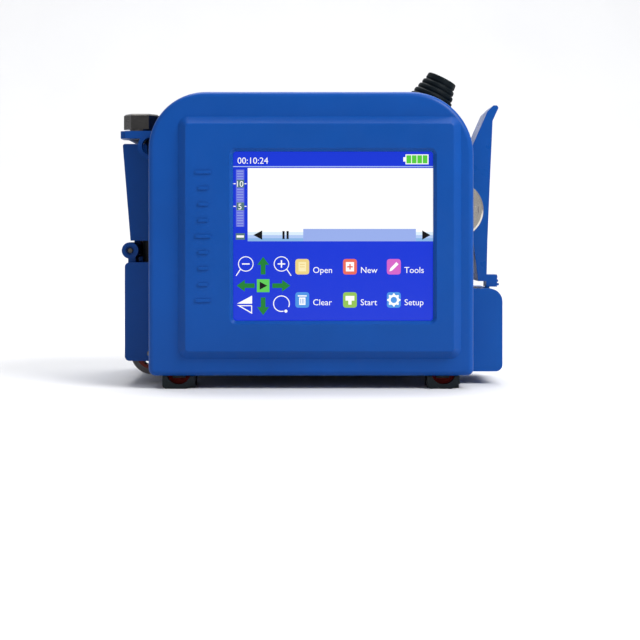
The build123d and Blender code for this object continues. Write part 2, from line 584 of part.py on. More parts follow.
def make_shoe(name):
    """One guide shoe: toe, two cheeks and the web that joins them above the roller."""
    x, toe_y, way = SHOES[name]
    sole = (x - SHOE_WIDTH / 2, x + SHOE_WIDTH / 2)
    with BuildPart() as shoe:
        with BuildSketch(front_plane(shoe_span(toe_y, way, 0, NEAR_CHEEK[0])[1])):
            Polygon(
                (sole[0] + 0.8, 0),
                (sole[1] - 2.6, 0),
                (sole[1], 1.6),
                (sole[1], SHELL_BOTTOM - SEAT),
                (sole[0], SHELL_BOTTOM - SEAT),
                (sole[0], 0.8),
                align=None,
            )
        extrude(amount=NEAR_CHEEK[0])
        rod(x, ROLLER_Z, NOTCH_R, shoe_span(toe_y, way, -1.0, NEAR_CHEEK[0]), Mode.SUBTRACT)
        near, far = shoe_span(toe_y, way, *NEAR_CHEEK), shoe_span(toe_y, way, *FAR_CHEEK)
        block(sole, near, (0, SHOE_TOP))
        rod(x, ROLLER_Z, NOTCH_R + 0.3, near, Mode.SUBTRACT)
        block((x - HANGER / 2, x + HANGER / 2), near, (ROLLER_Z - HANGER / 2, SHOE_TOP))
        block(sole, far, (0, SHOE_TOP))
        for cheek in (near, far):
            rod(x, ROLLER_Z, AXLE_R, cheek, Mode.SUBTRACT)
        web = shoe_span(toe_y, way, NEAR_CHEEK[0], FAR_CHEEK[1])
        block(sole, web, (ROLLER_Z + ROLLER_R + FIT, SHOE_TOP))
    return shoe


def make_roller(name):
    """One guide roller: a soft sleeve with rounded rims and the axle's bore."""
    x, toe_y, way = SHOES[name]
    span = shoe_span(toe_y, way, *ROLLER_SPAN)
    with BuildPart() as roller:
        rod(x, ROLLER_Z, ROLLER_R, span)
        fillet(roller.edges().filter_by(GeomType.CIRCLE), radius=0.6)
        rod(x, ROLLER_Z, AXLE_R + AXLE_GAP, span, Mode.SUBTRACT)
    return roller


for shoe_name in SHOES:
    save(make_shoe(shoe_name), f"guide_shoe_{shoe_name}")
    save(make_roller(shoe_name), f"guide_roller_{shoe_name}")

with BuildPart() as roller_axles:
    for axle_x, toe_y, way in SHOES.values():
        rod(axle_x, ROLLER_Z, AXLE_R, shoe_span(toe_y, way, NEAR_CHEEK[0], FAR_CHEEK[1]))
save(roller_axles, "roller_axles")

# Release lever: wing, hub and grip lip, turning on the slotted screw
LEVER_WING = [
    (61.6, 90.6),
    (59.3, 85.6),
    (58.4, 66.0),
    (57.6, 46.6),
    (57.3, 33.2),
    (54.6, 33.2),
    (53.0, 46.0),
    (PIVOT[0], PIVOT[1] - 8.8),
    (PIVOT[0], PIVOT[1] + 8.8),
    (52.3, 76.5),
    (57.6, 88.6),
    (59.6, 90.6),
]
LEVER_TIP_R = 0.8
SPRING_ROOM = 7.0  # radius of the recess for the spring
THUMB_RECESS_X = (50.4, 55.6)
THUMB_RECESS_Z = (62.0, 74.0)
with BuildPart() as release_lever:
    with BuildSketch(front_plane(LEVER_Y[1])):
        Polygon(*LEVER_WING, align=None)
        with Locations(PIVOT):
            Circle(HUB_R)
    extrude(amount=LEVER_Y[1] - LEVER_Y[0])
    fillet(release_lever.edges().filter_by(Axis.Y).group_by(Axis.X)[-1], radius=LEVER_TIP_R)
    rod(*PIVOT, SCREW_R + SCREW_GAP, (LEVER_Y[0] - 1.0, LEVER_Y[1] + 1.0), Mode.SUBTRACT)
    rod(*PIVOT, SPRING_ROOM, (LEVER_Y[1] - 5.0, LEVER_Y[1] + 1.0), Mode.SUBTRACT)
    block(THUMB_RECESS_X, (LEVER_Y[0] + WALL, LEVER_Y[1] - WALL), THUMB_RECESS_Z, Mode.SUBTRACT)
save(release_lever, "release_lever")

HEAD_Y = (LEVER_Y[0] - FIT - DISC_THICK, LEVER_Y[0] - FIT)
SLOT_X = (PIVOT[0] - 7.6, PIVOT[0] + 7.6)
SLOT_Z = (PIVOT[1] - 1.1, PIVOT[1] + 1.1)
SLOT_DEPTH = 1.4
with BuildPart() as lever_screw:
    rod(*PIVOT, DISC_R, HEAD_Y)
    chamfer(lever_screw.edges().group_by(Axis.Y)[0], length=0.6)
    block(SLOT_X, (HEAD_Y[0] - 1.0, HEAD_Y[0] + SLOT_DEPTH), SLOT_Z, Mode.SUBTRACT)
    rod(*PIVOT, SCREW_R, (HEAD_Y[1], POCKET_BACK_Y + BOSS_DEPTH))
save(lever_screw, "lever_screw")

SPRING_TURNS = 3
SPRING_WIRE = 0.45
SPRING_R = 5.2
SPRING_PITCH = 1.25
SPRING_FOOT = (PIVOT[0], POCKET_BACK_Y - 0.6, PIVOT[1])
SPRING_HEIGHT = SPRING_PITCH * SPRING_TURNS
with BuildPart() as lever_spring:
    with BuildLine() as coil_path:
        Helix(SPRING_PITCH, SPRING_HEIGHT, SPRING_R, center=SPRING_FOOT, direction=(0, -1, 0))
    with BuildSketch(coil_path.line ^ 0):
        Circle(SPRING_WIRE)
    sweep()
save(lever_spring, "lever_spring")

# Print button: ribbed rubber cap, stem, collar and switch on the slanted corner
CAP_LOW = BUTTON_TRAVEL + 0.2
CAP_CEILING = COLLAR_HEIGHT + BUTTON_TRAVEL + 0.3
STEM_LOW = -6.0
SWITCH_LOW = -12.5
SWITCH_TOP = STEM_LOW - BUTTON_TRAVEL - 0.1

with BuildPart() as button_collar:
    add(button_disc(COLLAR_R, -WALL, COLLAR_HEIGHT))
    add(button_disc(STEM_R + STEM_GAP, -WALL - 1.0, COLLAR_HEIGHT + 1.0), mode=Mode.SUBTRACT)
save(button_collar, "button_collar")

with BuildPart() as button_cap:
    step = (BUTTON_HEIGHT - CAP_LOW) / (BUTTON_RIBS + 1)
    for index in range(BUTTON_RIBS):
        rib_r = BUTTON_SKIRT_R + (BUTTON_TOP_R - BUTTON_SKIRT_R) * index / BUTTON_RIBS
        rib_low = CAP_LOW + index * step
        add(button_disc(rib_r, rib_low, rib_low + 0.62 * step))
        add(button_disc(rib_r - RIB_DEPTH, rib_low + 0.6 * step, rib_low + step))
    add(button_disc(BUTTON_TOP_R, BUTTON_HEIGHT - step, BUTTON_HEIGHT))
    fillet(button_cap.faces().filter_by(GeomType.PLANE).sort_by(Axis.Z)[-1].edges(), radius=0.7)
    add(button_disc(COLLAR_R + FIT, CAP_LOW - 1.0, CAP_CEILING), mode=Mode.SUBTRACT)
save(button_cap, "button_cap")

with BuildPart() as button_stem:
    add(button_disc(STEM_R, STEM_LOW, CAP_CEILING))
    add(button_disc(STEM_R + 1.0, -WALL - 1.4, -WALL - 0.3))
save(button_stem, "button_stem")

with BuildPart() as button_switch:
    with BuildSketch(button_plane(SWITCH_LOW)):
        Rectangle(6.0, 6.0)
    extrude(amount=SWITCH_TOP - SWITCH_LOW - 1.2)
    add(button_disc(1.6, SWITCH_LOW, SWITCH_TOP))
save(button_switch, "button_switch")

# Power slider on the corner block and the switch under it
with BuildPart() as power_slider:
    slider_z = (BLOCK_TOP + FIT, BLOCK_TOP + FIT + SLIDER_HEIGHT)
    block((SLIDER_X[0], SLIDER_X[1] - 0.6), SLIDER_Y, slider_z)
    for index in range(SLIDER_RIBS):
        rib_z = slider_z[0] + 0.8 + index * 1.2
        side_rib = (SLIDER_X[1] - 1.6, SLIDER_X[1] - 0.25 * index)
        block(side_rib, SLIDER_Y, (rib_z - 0.35, rib_z + 0.35))
    block(SLIDER_STEM_X, SLIDER_STEM_Y, (BLOCK_TOP - WALL - 2.0, slider_z[0]))
save(power_slider, "power_slider")

SLIDE_SWITCH_TOP = BLOCK_TOP - WALL - 2.0 - FIT
SLIDE_SWITCH_HEIGHT = 6.0
SLIDE_SWITCH_LEFT = 53.5
with BuildPart() as slide_switch:
    switch_z = (SLIDE_SWITCH_TOP - SLIDE_SWITCH_HEIGHT, SLIDE_SWITCH_TOP)
    block((SLIDE_SWITCH_LEFT, HALF_WIDTH - WALL), (SLIDER_Y[0], SLIDER_Y[1] + 5.0), switch_z)
save(slide_switch, "slide_switch")

# Screen stack behind the window
STACK_X = (WINDOW_X[0] - STACK_EDGE, WINDOW_X[1] + STACK_EDGE)
STACK_Z = (WINDOW_Z[0] - STACK_EDGE, WINDOW_Z[1] + STACK_EDGE)

with BuildPart() as screen_gasket:
    block(STACK_X, GASKET_Y, STACK_Z)
    block(WINDOW_X, (GASKET_Y[0] - 1.0, GASKET_Y[1] + 1.0), WINDOW_Z, Mode.SUBTRACT)
save(screen_gasket, "screen_gasket")

with BuildPart() as touch_glass:
    block(STACK_X, GLASS_Y, STACK_Z)
save(touch_glass, "touch_glass")

with BuildPart() as lcd_panel:
    block(STACK_X, LCD_Y, STACK_Z)
save(lcd_panel, "lcd_panel")

with BuildPart() as lcd_frame:
    frame_x = (STACK_X[0] - FRAME_RIM, STACK_X[1] + FRAME_RIM)
    frame_z = (STACK_Z[0] - FRAME_RIM, STACK_Z[1] + FRAME_RIM)
    block(frame_x, (GLASS_Y[0], LCD_FRAME_Y[1]), frame_z)
    block(STACK_X, (GLASS_Y[0] - 1.0, LCD_Y[1]), STACK_Z, Mode.SUBTRACT)
    light_x = (WINDOW_X[0] + 6.0, WINDOW_X[1] - 6.0)
    light_z = (WINDOW_Z[0] + 6.0, WINDOW_Z[1] - 6.0)
    block(light_x, (GLASS_Y[0], LCD_FRAME_Y[1] + 1.0), light_z, Mode.SUBTRACT)
save(lcd_frame, "lcd_frame")

with BuildPart() as main_board:
    block(BOARD_X, BOARD_Y, BOARD_Z)
    for spacer_x, spacer_z in SPACER_POINTS:
        rod(spacer_x, spacer_z, SCREW_SHANK_R, (BOARD_Y[0] - 1.0, BOARD_Y[1] + 1.0), Mode.SUBTRACT)
save(main_board, "main_board")

# Each chip: X and Z of its middle, width, height and thickness
CHIPS = [
    (-14.0, 58.0, 12.0, 12.0, 1.4),
    (6.0, 60.0, 9.0, 6.0, 1.2),
    (24.0, 58.0, 7.0, 7.0, 1.6),
    (8.0, 40.0, 14.0, 8.0, 1.5),
]
with BuildPart() as board_chips:
    for chip_x, chip_z, chip_w, chip_h, chip_t in CHIPS:
        chip_y = (BOARD_Y[1], BOARD_Y[1] + chip_t)
        block((chip_x - chip_w / 2, chip_x + chip_w / 2), chip_y, (chip_z - chip_h / 2, chip_z + chip_h / 2))
save(board_chips, "board_chips")

BUZZER_PLACE = (-18.0, 36.0)
BUZZER_R = 5.0
BUZZER_HEIGHT = 4.5
with BuildPart() as buzzer:
    buzzer_top = BOARD_Y[1] + BUZZER_HEIGHT
    rod(*BUZZER_PLACE, BUZZER_R, (BOARD_Y[1], buzzer_top))
    rod(*BUZZER_PLACE, 1.0, (buzzer_top - 1.0, buzzer_top + 0.5), Mode.SUBTRACT)
save(buzzer, "buzzer")

# Battery case, its two cells, and the cover on the back
CASE_X = (COVER_MID_X - 2 * CELL_R - CASE_WALL - 0.6, COVER_MID_X + 2 * CELL_R + CASE_WALL + 0.6)
CASE_Z = (sum(COVER_Z) / 2 - CELL_LENGTH / 2 - 2.5, sum(COVER_Z) / 2 + CELL_LENGTH / 2 + 2.5)
CASE_Y = (INNER_BACK_Y - 2 * CELL_R - CASE_WALL - 0.8, INNER_BACK_Y)
with BuildPart() as battery_case:
    block(CASE_X, CASE_Y, CASE_Z)
    inner_x = (CASE_X[0] + CASE_WALL, CASE_X[1] - CASE_WALL)
    inner_z = (CASE_Z[0] + CASE_WALL, CASE_Z[1] - CASE_WALL)
    block(inner_x, (CASE_Y[0] + CASE_WALL, CASE_Y[1] + 1.0), inner_z, Mode.SUBTRACT)
save(battery_case, "battery_case")

CELL_Y = CASE_Y[0] + CASE_WALL + CELL_R + 0.2
with BuildPart() as battery_cells:
    for side in (-1, 1):
        cell_x = COVER_MID_X + side * (CELL_R + 0.3)
        cell_z = (CASE_Z[0] + CASE_WALL + 0.3, CASE_Z[0] + CASE_WALL + 0.3 + CELL_LENGTH)
        post(cell_x, CELL_Y, CELL_R, cell_z)
        post(cell_x, CELL_Y, 3.0, (cell_z[1] - 1.0, cell_z[1] + 1.0))
save(battery_cells, "battery_cells")

GRIP_X = (COVER_MID_X - 9.0, COVER_MID_X + 9.0)  # grooves for the thumb that slides the cover off
GRIP_COUNT = 5
GRIP_PITCH = 3.0
GRIP_WIDTH = 1.2
with BuildPart() as battery_cover:
    extrude(rounded_panel(BACK_Y, COVER_X, COVER_Z, [3.0] * 4, SEAT), amount=COVER_THICK)
    for index in range(GRIP_COUNT):
        groove_z = COVER_Z[0] + 8.0 + index * GRIP_PITCH
        block(GRIP_X, (BACK_Y - 0.5, BACK_Y + 1.0), (groove_z, groove_z + GRIP_WIDTH), Mode.SUBTRACT)
save(battery_cover, "battery_cover")

# Fasteners, inserts, sockets and the pad on the back
with BuildPart() as shell_screws:
    for screw_x, screw_z in SHELL_SCREWS:
        rod(screw_x, screw_z, SCREW_HEAD_R, (BACK_Y - SCREW_HEAD, BACK_Y - 0.2))
        rod(screw_x, screw_z, SCREW_DRIVE_R, (BACK_Y - 0.9, BACK_Y), Mode.SUBTRACT)
        rod(screw_x, screw_z, SCREW_SHANK_R, (BACK_Y - SCREW_LENGTH, BACK_Y - SCREW_HEAD))
save(shell_screws, "shell_screws")

with BuildPart() as rear_inserts:
    for insert_x, insert_z in INSERTS:
        rod(insert_x, insert_z, INSERT_R, (BACK_Y - INSERT_LENGTH, BACK_Y))
        rod(insert_x, insert_z, INSERT_HOLE_R, (BACK_Y - INSERT_LENGTH, BACK_Y), Mode.SUBTRACT)
save(rear_inserts, "rear_inserts")

PORT_X = (REAR_X[1] - 9.0, REAR_X[1])
with BuildPart() as usb_socket:
    block(PORT_X, (usb_y[0], usb_y[1]), usb_z)
    slot = (usb_y[0] + 0.4, usb_y[1] - 0.4)
    block((PORT_X[0] + 2.0, PORT_X[1] + 1.0), slot, (usb_z[0] + 0.4, usb_z[1] - 0.4), Mode.SUBTRACT)
    block((PORT_X[0] + 1.0, PORT_X[1] - 1.0), (slot[0] + 1.0, slot[1] - 1.0), (USB_Z - 0.35, USB_Z + 0.35))
save(usb_socket, "usb_socket")

with BuildPart() as power_inlet:
    side_rod(PORT_Y, INLET_Z, INLET_R, PORT_X)
    side_rod(PORT_Y, INLET_Z, 2.75, (PORT_X[0] + 1.5, PORT_X[1] + 1.0), Mode.SUBTRACT)
    side_rod(PORT_Y, INLET_Z, 1.05, (PORT_X[0] + 1.0, PORT_X[1] - 0.8))
save(power_inlet, "power_inlet")

with BuildPart() as sensor_socket:
    side_rod(PORT_Y, SENSOR_Z, SENSOR_R, (PORT_X[0], PORT_X[1]))
    side_rod(PORT_Y, SENSOR_Z, SENSOR_R - 1.2, (PORT_X[1] - 3.0, PORT_X[1] + 1.0), Mode.SUBTRACT)
    for angle in range(45, 405, 90):
        pin_y = PORT_Y + 2.0 * math.cos(math.radians(angle))
        pin_z = SENSOR_Z + 2.0 * math.sin(math.radians(angle))
        side_rod(pin_y, pin_z, 0.5, (PORT_X[1] - 3.5, PORT_X[1] - 1.0))
save(sensor_socket, "sensor_socket")

RATING_X = (-14.0, 34.0)
RATING_Z = (5.8, 7.6)
with BuildPart() as rating_plate:
    extrude(rounded_panel(BACK_Y + PAD_RISE, RATING_X, RATING_Z, [0.6] * 4), amount=PAD_RISE)
save(rating_plate, "rating_plate")
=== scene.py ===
"""Looks of a hand-held date code inkjet printer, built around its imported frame.

Metres throughout. X is to the right as the screen is read, Y goes away from the reader, Z is up.
"""

import json
import logging
import math
from dataclasses import dataclass, field
from enum import Enum
from typing import Any, Sequence

import bpy
import numpy as np
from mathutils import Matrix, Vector


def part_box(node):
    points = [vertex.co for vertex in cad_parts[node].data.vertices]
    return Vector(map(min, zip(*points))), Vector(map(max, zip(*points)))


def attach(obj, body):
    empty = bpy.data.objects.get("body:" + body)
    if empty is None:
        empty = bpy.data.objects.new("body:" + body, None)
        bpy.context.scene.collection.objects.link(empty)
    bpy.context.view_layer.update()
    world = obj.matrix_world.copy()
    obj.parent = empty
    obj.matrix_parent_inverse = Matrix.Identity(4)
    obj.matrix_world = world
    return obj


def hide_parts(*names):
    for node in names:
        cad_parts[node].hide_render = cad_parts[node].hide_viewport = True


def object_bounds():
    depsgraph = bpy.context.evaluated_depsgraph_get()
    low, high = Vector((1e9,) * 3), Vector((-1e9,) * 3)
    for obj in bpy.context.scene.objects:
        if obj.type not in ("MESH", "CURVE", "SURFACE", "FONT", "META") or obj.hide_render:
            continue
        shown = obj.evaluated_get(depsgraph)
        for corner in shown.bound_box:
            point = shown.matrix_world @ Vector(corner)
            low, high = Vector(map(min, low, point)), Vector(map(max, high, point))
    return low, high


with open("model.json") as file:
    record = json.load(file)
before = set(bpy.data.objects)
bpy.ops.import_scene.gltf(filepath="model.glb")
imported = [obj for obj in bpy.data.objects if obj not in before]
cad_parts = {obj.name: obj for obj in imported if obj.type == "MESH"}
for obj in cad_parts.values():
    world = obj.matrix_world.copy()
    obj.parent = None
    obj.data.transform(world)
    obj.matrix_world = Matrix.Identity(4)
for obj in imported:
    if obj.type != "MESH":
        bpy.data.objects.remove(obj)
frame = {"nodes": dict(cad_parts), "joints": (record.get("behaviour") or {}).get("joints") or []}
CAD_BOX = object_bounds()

LOG = logging.getLogger("printer")
MM = 0.001
Colour = tuple[float, float, float]
Point = tuple[float, float]


# ---------------------------------------------------------------- shader graphs


class Socket:
    """A shader socket whose arithmetic adds Math nodes."""

    def __init__(self, graph: "Graph", link: Any) -> None:
        """Keep the graph and the node socket."""
        self.graph = graph
        self.link = link

    def _math(self, operation: str, first: Any, second: Any) -> "Socket":
        """Add one Math node.

        Args:
            operation: Blender's name of the operation.
            first: a Socket or a number.
            second: a Socket or a number.

        Returns:
            The node's value.
        """
        return self.graph.node("ShaderNodeMath", {"operation": operation}, {0: first, 1: second})

    def __add__(self, other: Any) -> "Socket":
        """Sum."""
        return self._math("ADD", self, other)

    def __radd__(self, other: Any) -> "Socket":
        """Sum, reflected."""
        return self._math("ADD", other, self)

    def __sub__(self, other: Any) -> "Socket":
        """Difference."""
        return self._math("SUBTRACT", self, other)

    def __rsub__(self, other: Any) -> "Socket":
        """Difference, reflected."""
        return self._math("SUBTRACT", other, self)

    def __mul__(self, other: Any) -> "Socket":
        """Product."""
        return self._math("MULTIPLY", self, other)

    def __rmul__(self, other: Any) -> "Socket":
        """Product, reflected."""
        return self._math("MULTIPLY", other, self)


class Graph:
    """One material's nodes, around a Principled shader."""

    def __init__(self, name: str) -> None:
        """Start a material with an empty Principled shader."""
        self.material = bpy.data.materials.new(name)
        self.material.use_nodes = True
        self.tree = self.material.node_tree
        self.shader = next(n for n in self.tree.nodes if n.type == "BSDF_PRINCIPLED")
        coordinates = self.tree.nodes.new("ShaderNodeTexCoord")
        self.place = Socket(self, coordinates.outputs["Object"])

    def node(self, kind: str, settings: dict, inputs: dict, output: Any = 0) -> Socket:
        """Add one node.

        Args:
            kind: the node's type.
            settings: attributes set before the inputs; a "stops" list fills a colour ramp.
            inputs: values or Sockets by input name or number.
            output: name or number of the output to return.

        Returns:
            The chosen output.
        """
        made = self.tree.nodes.new(kind)
        for key, value in settings.items():
            if key == "stops":
                self._stops(made.color_ramp, value)
            else:
                setattr(made, key, value)
        for key, value in inputs.items():
            if isinstance(value, Socket):
                self.tree.links.new(value.link, made.inputs[key])
            else:
                made.inputs[key].default_value = value
        return Socket(self, made.outputs[output])

    @staticmethod
    def _stops(ramp: Any, stops: Sequence[tuple[float, float]]) -> None:
        """Fill a ramp with grey stops."""
        while len(ramp.elements) < len(stops):
            ramp.elements.new(0.5)
        for element, (place, grey) in zip(ramp.elements, stops):
            element.position = place
            element.color = (grey, grey, grey, 1.0)

    def noise(self, scale: float, detail: float = 3.0, stretch: Colour = (1, 1, 1)) -> Socket:
        """Noise on the piece's own coordinates.

        Args:
            scale: cells per metre.
            detail: octaves.
            stretch: scale along each axis.

        Returns:
            The noise's value.
        """
        vector = self.place
        if stretch != (1, 1, 1):
            vector = self.node("ShaderNodeMapping", {}, {"Vector": self.place, "Scale": stretch})
        return self.node("ShaderNodeTexNoise", {}, {"Vector": vector, "Scale": scale, "Detail": detail})

    def ramp(self, value: Socket, low: float, high: float) -> Socket:
        """Spread a value between two of its levels to 0 and 1."""
        return self.node("ShaderNodeValToRGB", {"stops": [(low, 0.0), (high, 1.0)]}, {0: value})

    def blend(self, mask: Socket, low: Colour, high: Colour) -> Socket:
        """Mix two colours by a mask."""
        settings = {"data_type": "RGBA"}
        inputs = {0: mask, 6: (*low, 1.0), 7: (*high, 1.0)}
        return self.node("ShaderNodeMix", settings, inputs, 2)

    def feed(self, name: str, value: Any) -> None:
        """Set or link one input of the shader."""
        if isinstance(value, Socket):
            self.tree.links.new(value.link, self.shader.inputs[name])
        else:
            self.shader.inputs[name].default_value = value

    def bump(self, height: Socket, depth: float, strength: float = 1.0) -> None:
        """Feed the shader's normal from a height.

        Args:
            height: the height, from 0 to 1.
            depth: the real depth of 1, in metres.
            strength: how much of it shows.
        """
        inputs = {"Height": height, "Distance": depth, "Strength": strength}
        self.feed("Normal", self.node("ShaderNodeBump", {}, inputs))


def shade(colour: Colour, factor: float) -> Colour:
    """A colour made darker or lighter by a factor."""
    return tuple(min(channel * factor, 1.0) for channel in colour)


# ---------------------------------------------------------------- finishes


@dataclass(frozen=True)
class MouldedPlastic:
    """Moulded plastic with a fine eroded texture, slight mottling and handling marks."""

    name: str
    colour: Colour
    roughness: float = 0.4
    grain: float = 5200.0
    depth: float = 0.00002
    coat: float = 0.0
    shine: float = 0.16

    def make(self) -> bpy.types.Material:
        """Build the material."""
        graph = Graph(self.name)
        graph.feed("Specular IOR Level", self.shine)
        mottle = graph.noise(46.0, 4.0)
        graph.feed("Base Color", graph.blend(mottle, shade(self.colour, 0.86), shade(self.colour, 1.12)))
        rubbed = graph.ramp(graph.noise(150.0, 5.0), 0.38, 0.72)
        graph.feed("Roughness", rubbed * 0.12 + (self.roughness - 0.05))
        graph.bump(graph.noise(self.grain, 2.0), self.depth, 0.55)
        graph.feed("Coat Weight", self.coat)
        graph.feed("Coat Roughness", 0.22)
        return graph.material


@dataclass(frozen=True)
class TurnedMetal:
    """Metal with fine tool lines, darkened patches and worn gloss."""

    name: str
    colour: Colour
    roughness: float = 0.28
    stretch: Colour = (1.0, 30.0, 1.0)
    tarnish: float = 0.7

    def make(self) -> bpy.types.Material:
        """Build the material."""
        graph = Graph(self.name)
        stain = graph.ramp(graph.noise(240.0, 5.0), 0.35, 0.75)
        graph.feed("Base Color", graph.blend(stain, self.colour, shade(self.colour, self.tarnish)))
        lines = graph.noise(900.0, 2.0, self.stretch)
        graph.feed("Roughness", lines * 0.16 + (self.roughness - 0.08))
        graph.feed("Metallic", 1.0)
        graph.bump(lines, 0.00002, 0.35)
        return graph.material


@dataclass(frozen=True)
class Rubber:
    """Rubber with a ground, dusty skin."""

    name: str
    colour: Colour
    dust: Colour
    roughness: float = 0.62

    def make(self) -> bpy.types.Material:
        """Build the material."""
        graph = Graph(self.name)
        dusty = graph.ramp(graph.noise(420.0, 6.0), 0.52, 0.86)
        graph.feed("Base Color", graph.blend(dusty * 0.6, self.colour, self.dust))
        graph.feed("Roughness", dusty * 0.2 + self.roughness)
        graph.feed("Specular IOR Level", 0.1)
        graph.bump(graph.noise(2600.0, 3.0), 0.00004, 0.5)
        return graph.material


@dataclass(frozen=True)
class CircuitBoard:
    """Solder mask over a maze of tracks, with tinned pads."""

    name: str
    mask: Colour = (0.008, 0.085, 0.035)
    track: Colour = (0.02, 0.19, 0.07)
    pad: Colour = (0.62, 0.6, 0.55)

    def make(self) -> bpy.types.Material:
        """Build the material."""
        graph = Graph(self.name)
        settings = {"feature": "DISTANCE_TO_EDGE", "distance": "EUCLIDEAN"}
        cells = {"Vector": graph.place, "Scale": 420.0}
        edge = graph.node("ShaderNodeTexVoronoi", settings, cells)
        tracks = graph.ramp(edge, 0.04, 0.07)
        dots = graph.node("ShaderNodeTexVoronoi", {"feature": "F1"}, {"Vector": graph.place, "Scale": 300.0})
        pads = graph.ramp(dots, 0.16, 0.2)
        board = graph.blend(tracks, self.track, self.mask)
        inputs = {0: pads, 6: (*self.pad, 1.0), 7: board}
        mixed = graph.node("ShaderNodeMix", {"data_type": "RGBA"}, inputs, 2)
        graph.feed("Base Color", mixed)
        graph.feed("Metallic", 1.0 - pads)
        graph.feed("Roughness", pads * 0.12 + 0.25)
        graph.bump(tracks, 0.00003, 0.5)
        return graph.material


@dataclass(frozen=True)
class LitInk:
    """One colour of the lit display, with the faint unevenness of a back light."""

    name: str
    colour: Colour
    glow: float = 0.85

    def make(self) -> bpy.types.Material:
        """Build the material."""
        graph = Graph(self.name)
        cloud = graph.noise(22.0, 1.0)
        lit = graph.blend(cloud, shade(self.colour, 0.94), shade(self.colour, 1.04))
        graph.feed("Base Color", graph.blend(cloud, shade(self.colour, 0.04), shade(self.colour, 0.06)))
        graph.feed("Specular IOR Level", 0.25)
        graph.feed("Emission Color", lit)
        graph.feed("Emission Strength", self.glow)
        graph.feed("Roughness", graph.noise(300.0) * 0.1 + 0.12)
        return graph.material


class Finish(Enum):
    """Every finish on the machine, by the name of the record's slot or of a lit colour."""

    BLUE_CASE = MouldedPlastic("deep blue satin shell", (0.002, 0.059, 0.285), 0.36, 4200.0, 0.00001, 0.0)
    BLUE_BODY = MouldedPlastic("deep blue body", (0.002, 0.066, 0.3), 0.4)
    # A darker copy of the blue plastic for the cartridge bay, its door and the roof bracket: painted shade,
    # standing in for the shade that falls on the machine's left side.
    BLUE_PAINTED_SHADE = MouldedPlastic("blue with painted shade for the bay", (0.001, 0.05, 0.24), 0.4)
    BLUE_MOVING = MouldedPlastic("deep blue moving parts", (0.002, 0.066, 0.3), 0.32, 4200.0, 0.00001, 0.05)
    DARK_STEEL = TurnedMetal("oiled dark steel", (0.1, 0.095, 0.09), 0.2)
    NICKEL = TurnedMetal("polished nickel", (0.66, 0.61, 0.54), 0.2, (30.0, 1.0, 1.0), 0.8)
    BRASS = TurnedMetal("turned brass", (0.62, 0.42, 0.15), 0.3)
    SHEET_METAL = TurnedMetal("zinc plated sheet", (0.56, 0.57, 0.6), 0.36, (1.0, 1.0, 14.0))
    GOLD_PLATE = TurnedMetal("gold coloured foil", (0.72, 0.48, 0.18), 0.2)
    PLATE = TurnedMetal("satin aluminium plate", (0.62, 0.63, 0.65), 0.34, (14.0, 1.0, 1.0), 0.9)
    BLACK_PLASTIC = MouldedPlastic("black nylon", (0.004, 0.007, 0.009), 0.3, 3600.0, 0.00001)
    CARTRIDGE = MouldedPlastic("cartridge black", (0.016, 0.017, 0.02), 0.38, 3000.0)
    RED_HUB = MouldedPlastic("red brown hub", (0.16, 0.016, 0.01), 0.42, 3000.0)
    CELL_WRAP = MouldedPlastic("shrink sleeve", (0.02, 0.16, 0.13), 0.22, 900.0, 0.00001, 0.5)
    BLACK_RUBBER = Rubber("black rubber", (0.001, 0.004, 0.006), (0.008, 0.014, 0.018), 0.5)
    RED_RUBBER = Rubber("red silicone", (0.26, 0.012, 0.01), (0.34, 0.05, 0.04), 0.5)
    GREY_TYRE = Rubber("grey ground tyre", (0.11, 0.1, 0.1), (0.24, 0.22, 0.22))
    CIRCUIT_BOARD = CircuitBoard("green circuit board")
    SCREEN_GLASS = LitInk("lit blue field", (0.006, 0.036, 0.68), 0.95)
    DISPLAY = LitInk("panel behind the glass", (0.006, 0.02, 0.4), 0.2)
    LIT_WHITE = LitInk("lit white", (1.0, 1.0, 1.0), 1.0)
    LIT_STATUS = LitInk("lit status blue", (0.006, 0.037, 0.69), 0.95)
    LIT_LILAC = LitInk("lit lilac", (0.32, 0.43, 0.84), 0.95)
    LIT_RULER = LitInk("lit ruler", (0.15, 0.17, 0.75), 0.95)
    LIT_TAG = LitInk("lit ruler tag", (0.1, 0.2, 0.22), 0.9)
    LIT_PALE = LitInk("lit palest blue", (0.72, 0.86, 0.97), 0.97)
    LIT_MIST = LitInk("lit mist blue", (0.45, 0.6, 0.93), 0.95)
    LIT_THUMB = LitInk("lit thumb blue", (0.26, 0.47, 0.8), 0.95)
    LIT_CREAM = LitInk("lit cream", (0.95, 0.83, 0.46), 0.97)
    LIT_GREEN = LitInk("lit green", (0.01, 0.22, 0.03), 0.95)
    LIT_LIME = LitInk("lit lime", (0.1, 0.62, 0.05), 0.95)
    LIT_MINT = LitInk("lit pale green", (0.12, 0.62, 0.1), 0.95)
    LIT_YELLOW = LitInk("lit yellow", (0.86, 0.66, 0.24), 0.95)
    LIT_CORAL = LitInk("lit coral", (0.82, 0.15, 0.1), 0.95)
    LIT_MAGENTA = LitInk("lit magenta", (0.68, 0.13, 0.58), 0.95)
    LIT_OLIVE = LitInk("lit olive green", (0.3, 0.55, 0.09), 0.95)
    LIT_SKY = LitInk("lit sky blue", (0.07, 0.3, 0.78), 0.95)
    LIT_BLACK = LitInk("unlit black", (0.004, 0.004, 0.006), 0.2)

    def material(self) -> bpy.types.Material:
        """The finish's material, made once."""
        return bpy.data.materials.get(self.value.name) or self.value.make()


def dress(piece: bpy.types.Object, finish: Finish) -> None:
    """Give a piece one finish, in place of what it has."""
    piece.data.materials.clear()
    piece.data.materials.append(finish.material())


# ---------------------------------------------------------------- surfaces


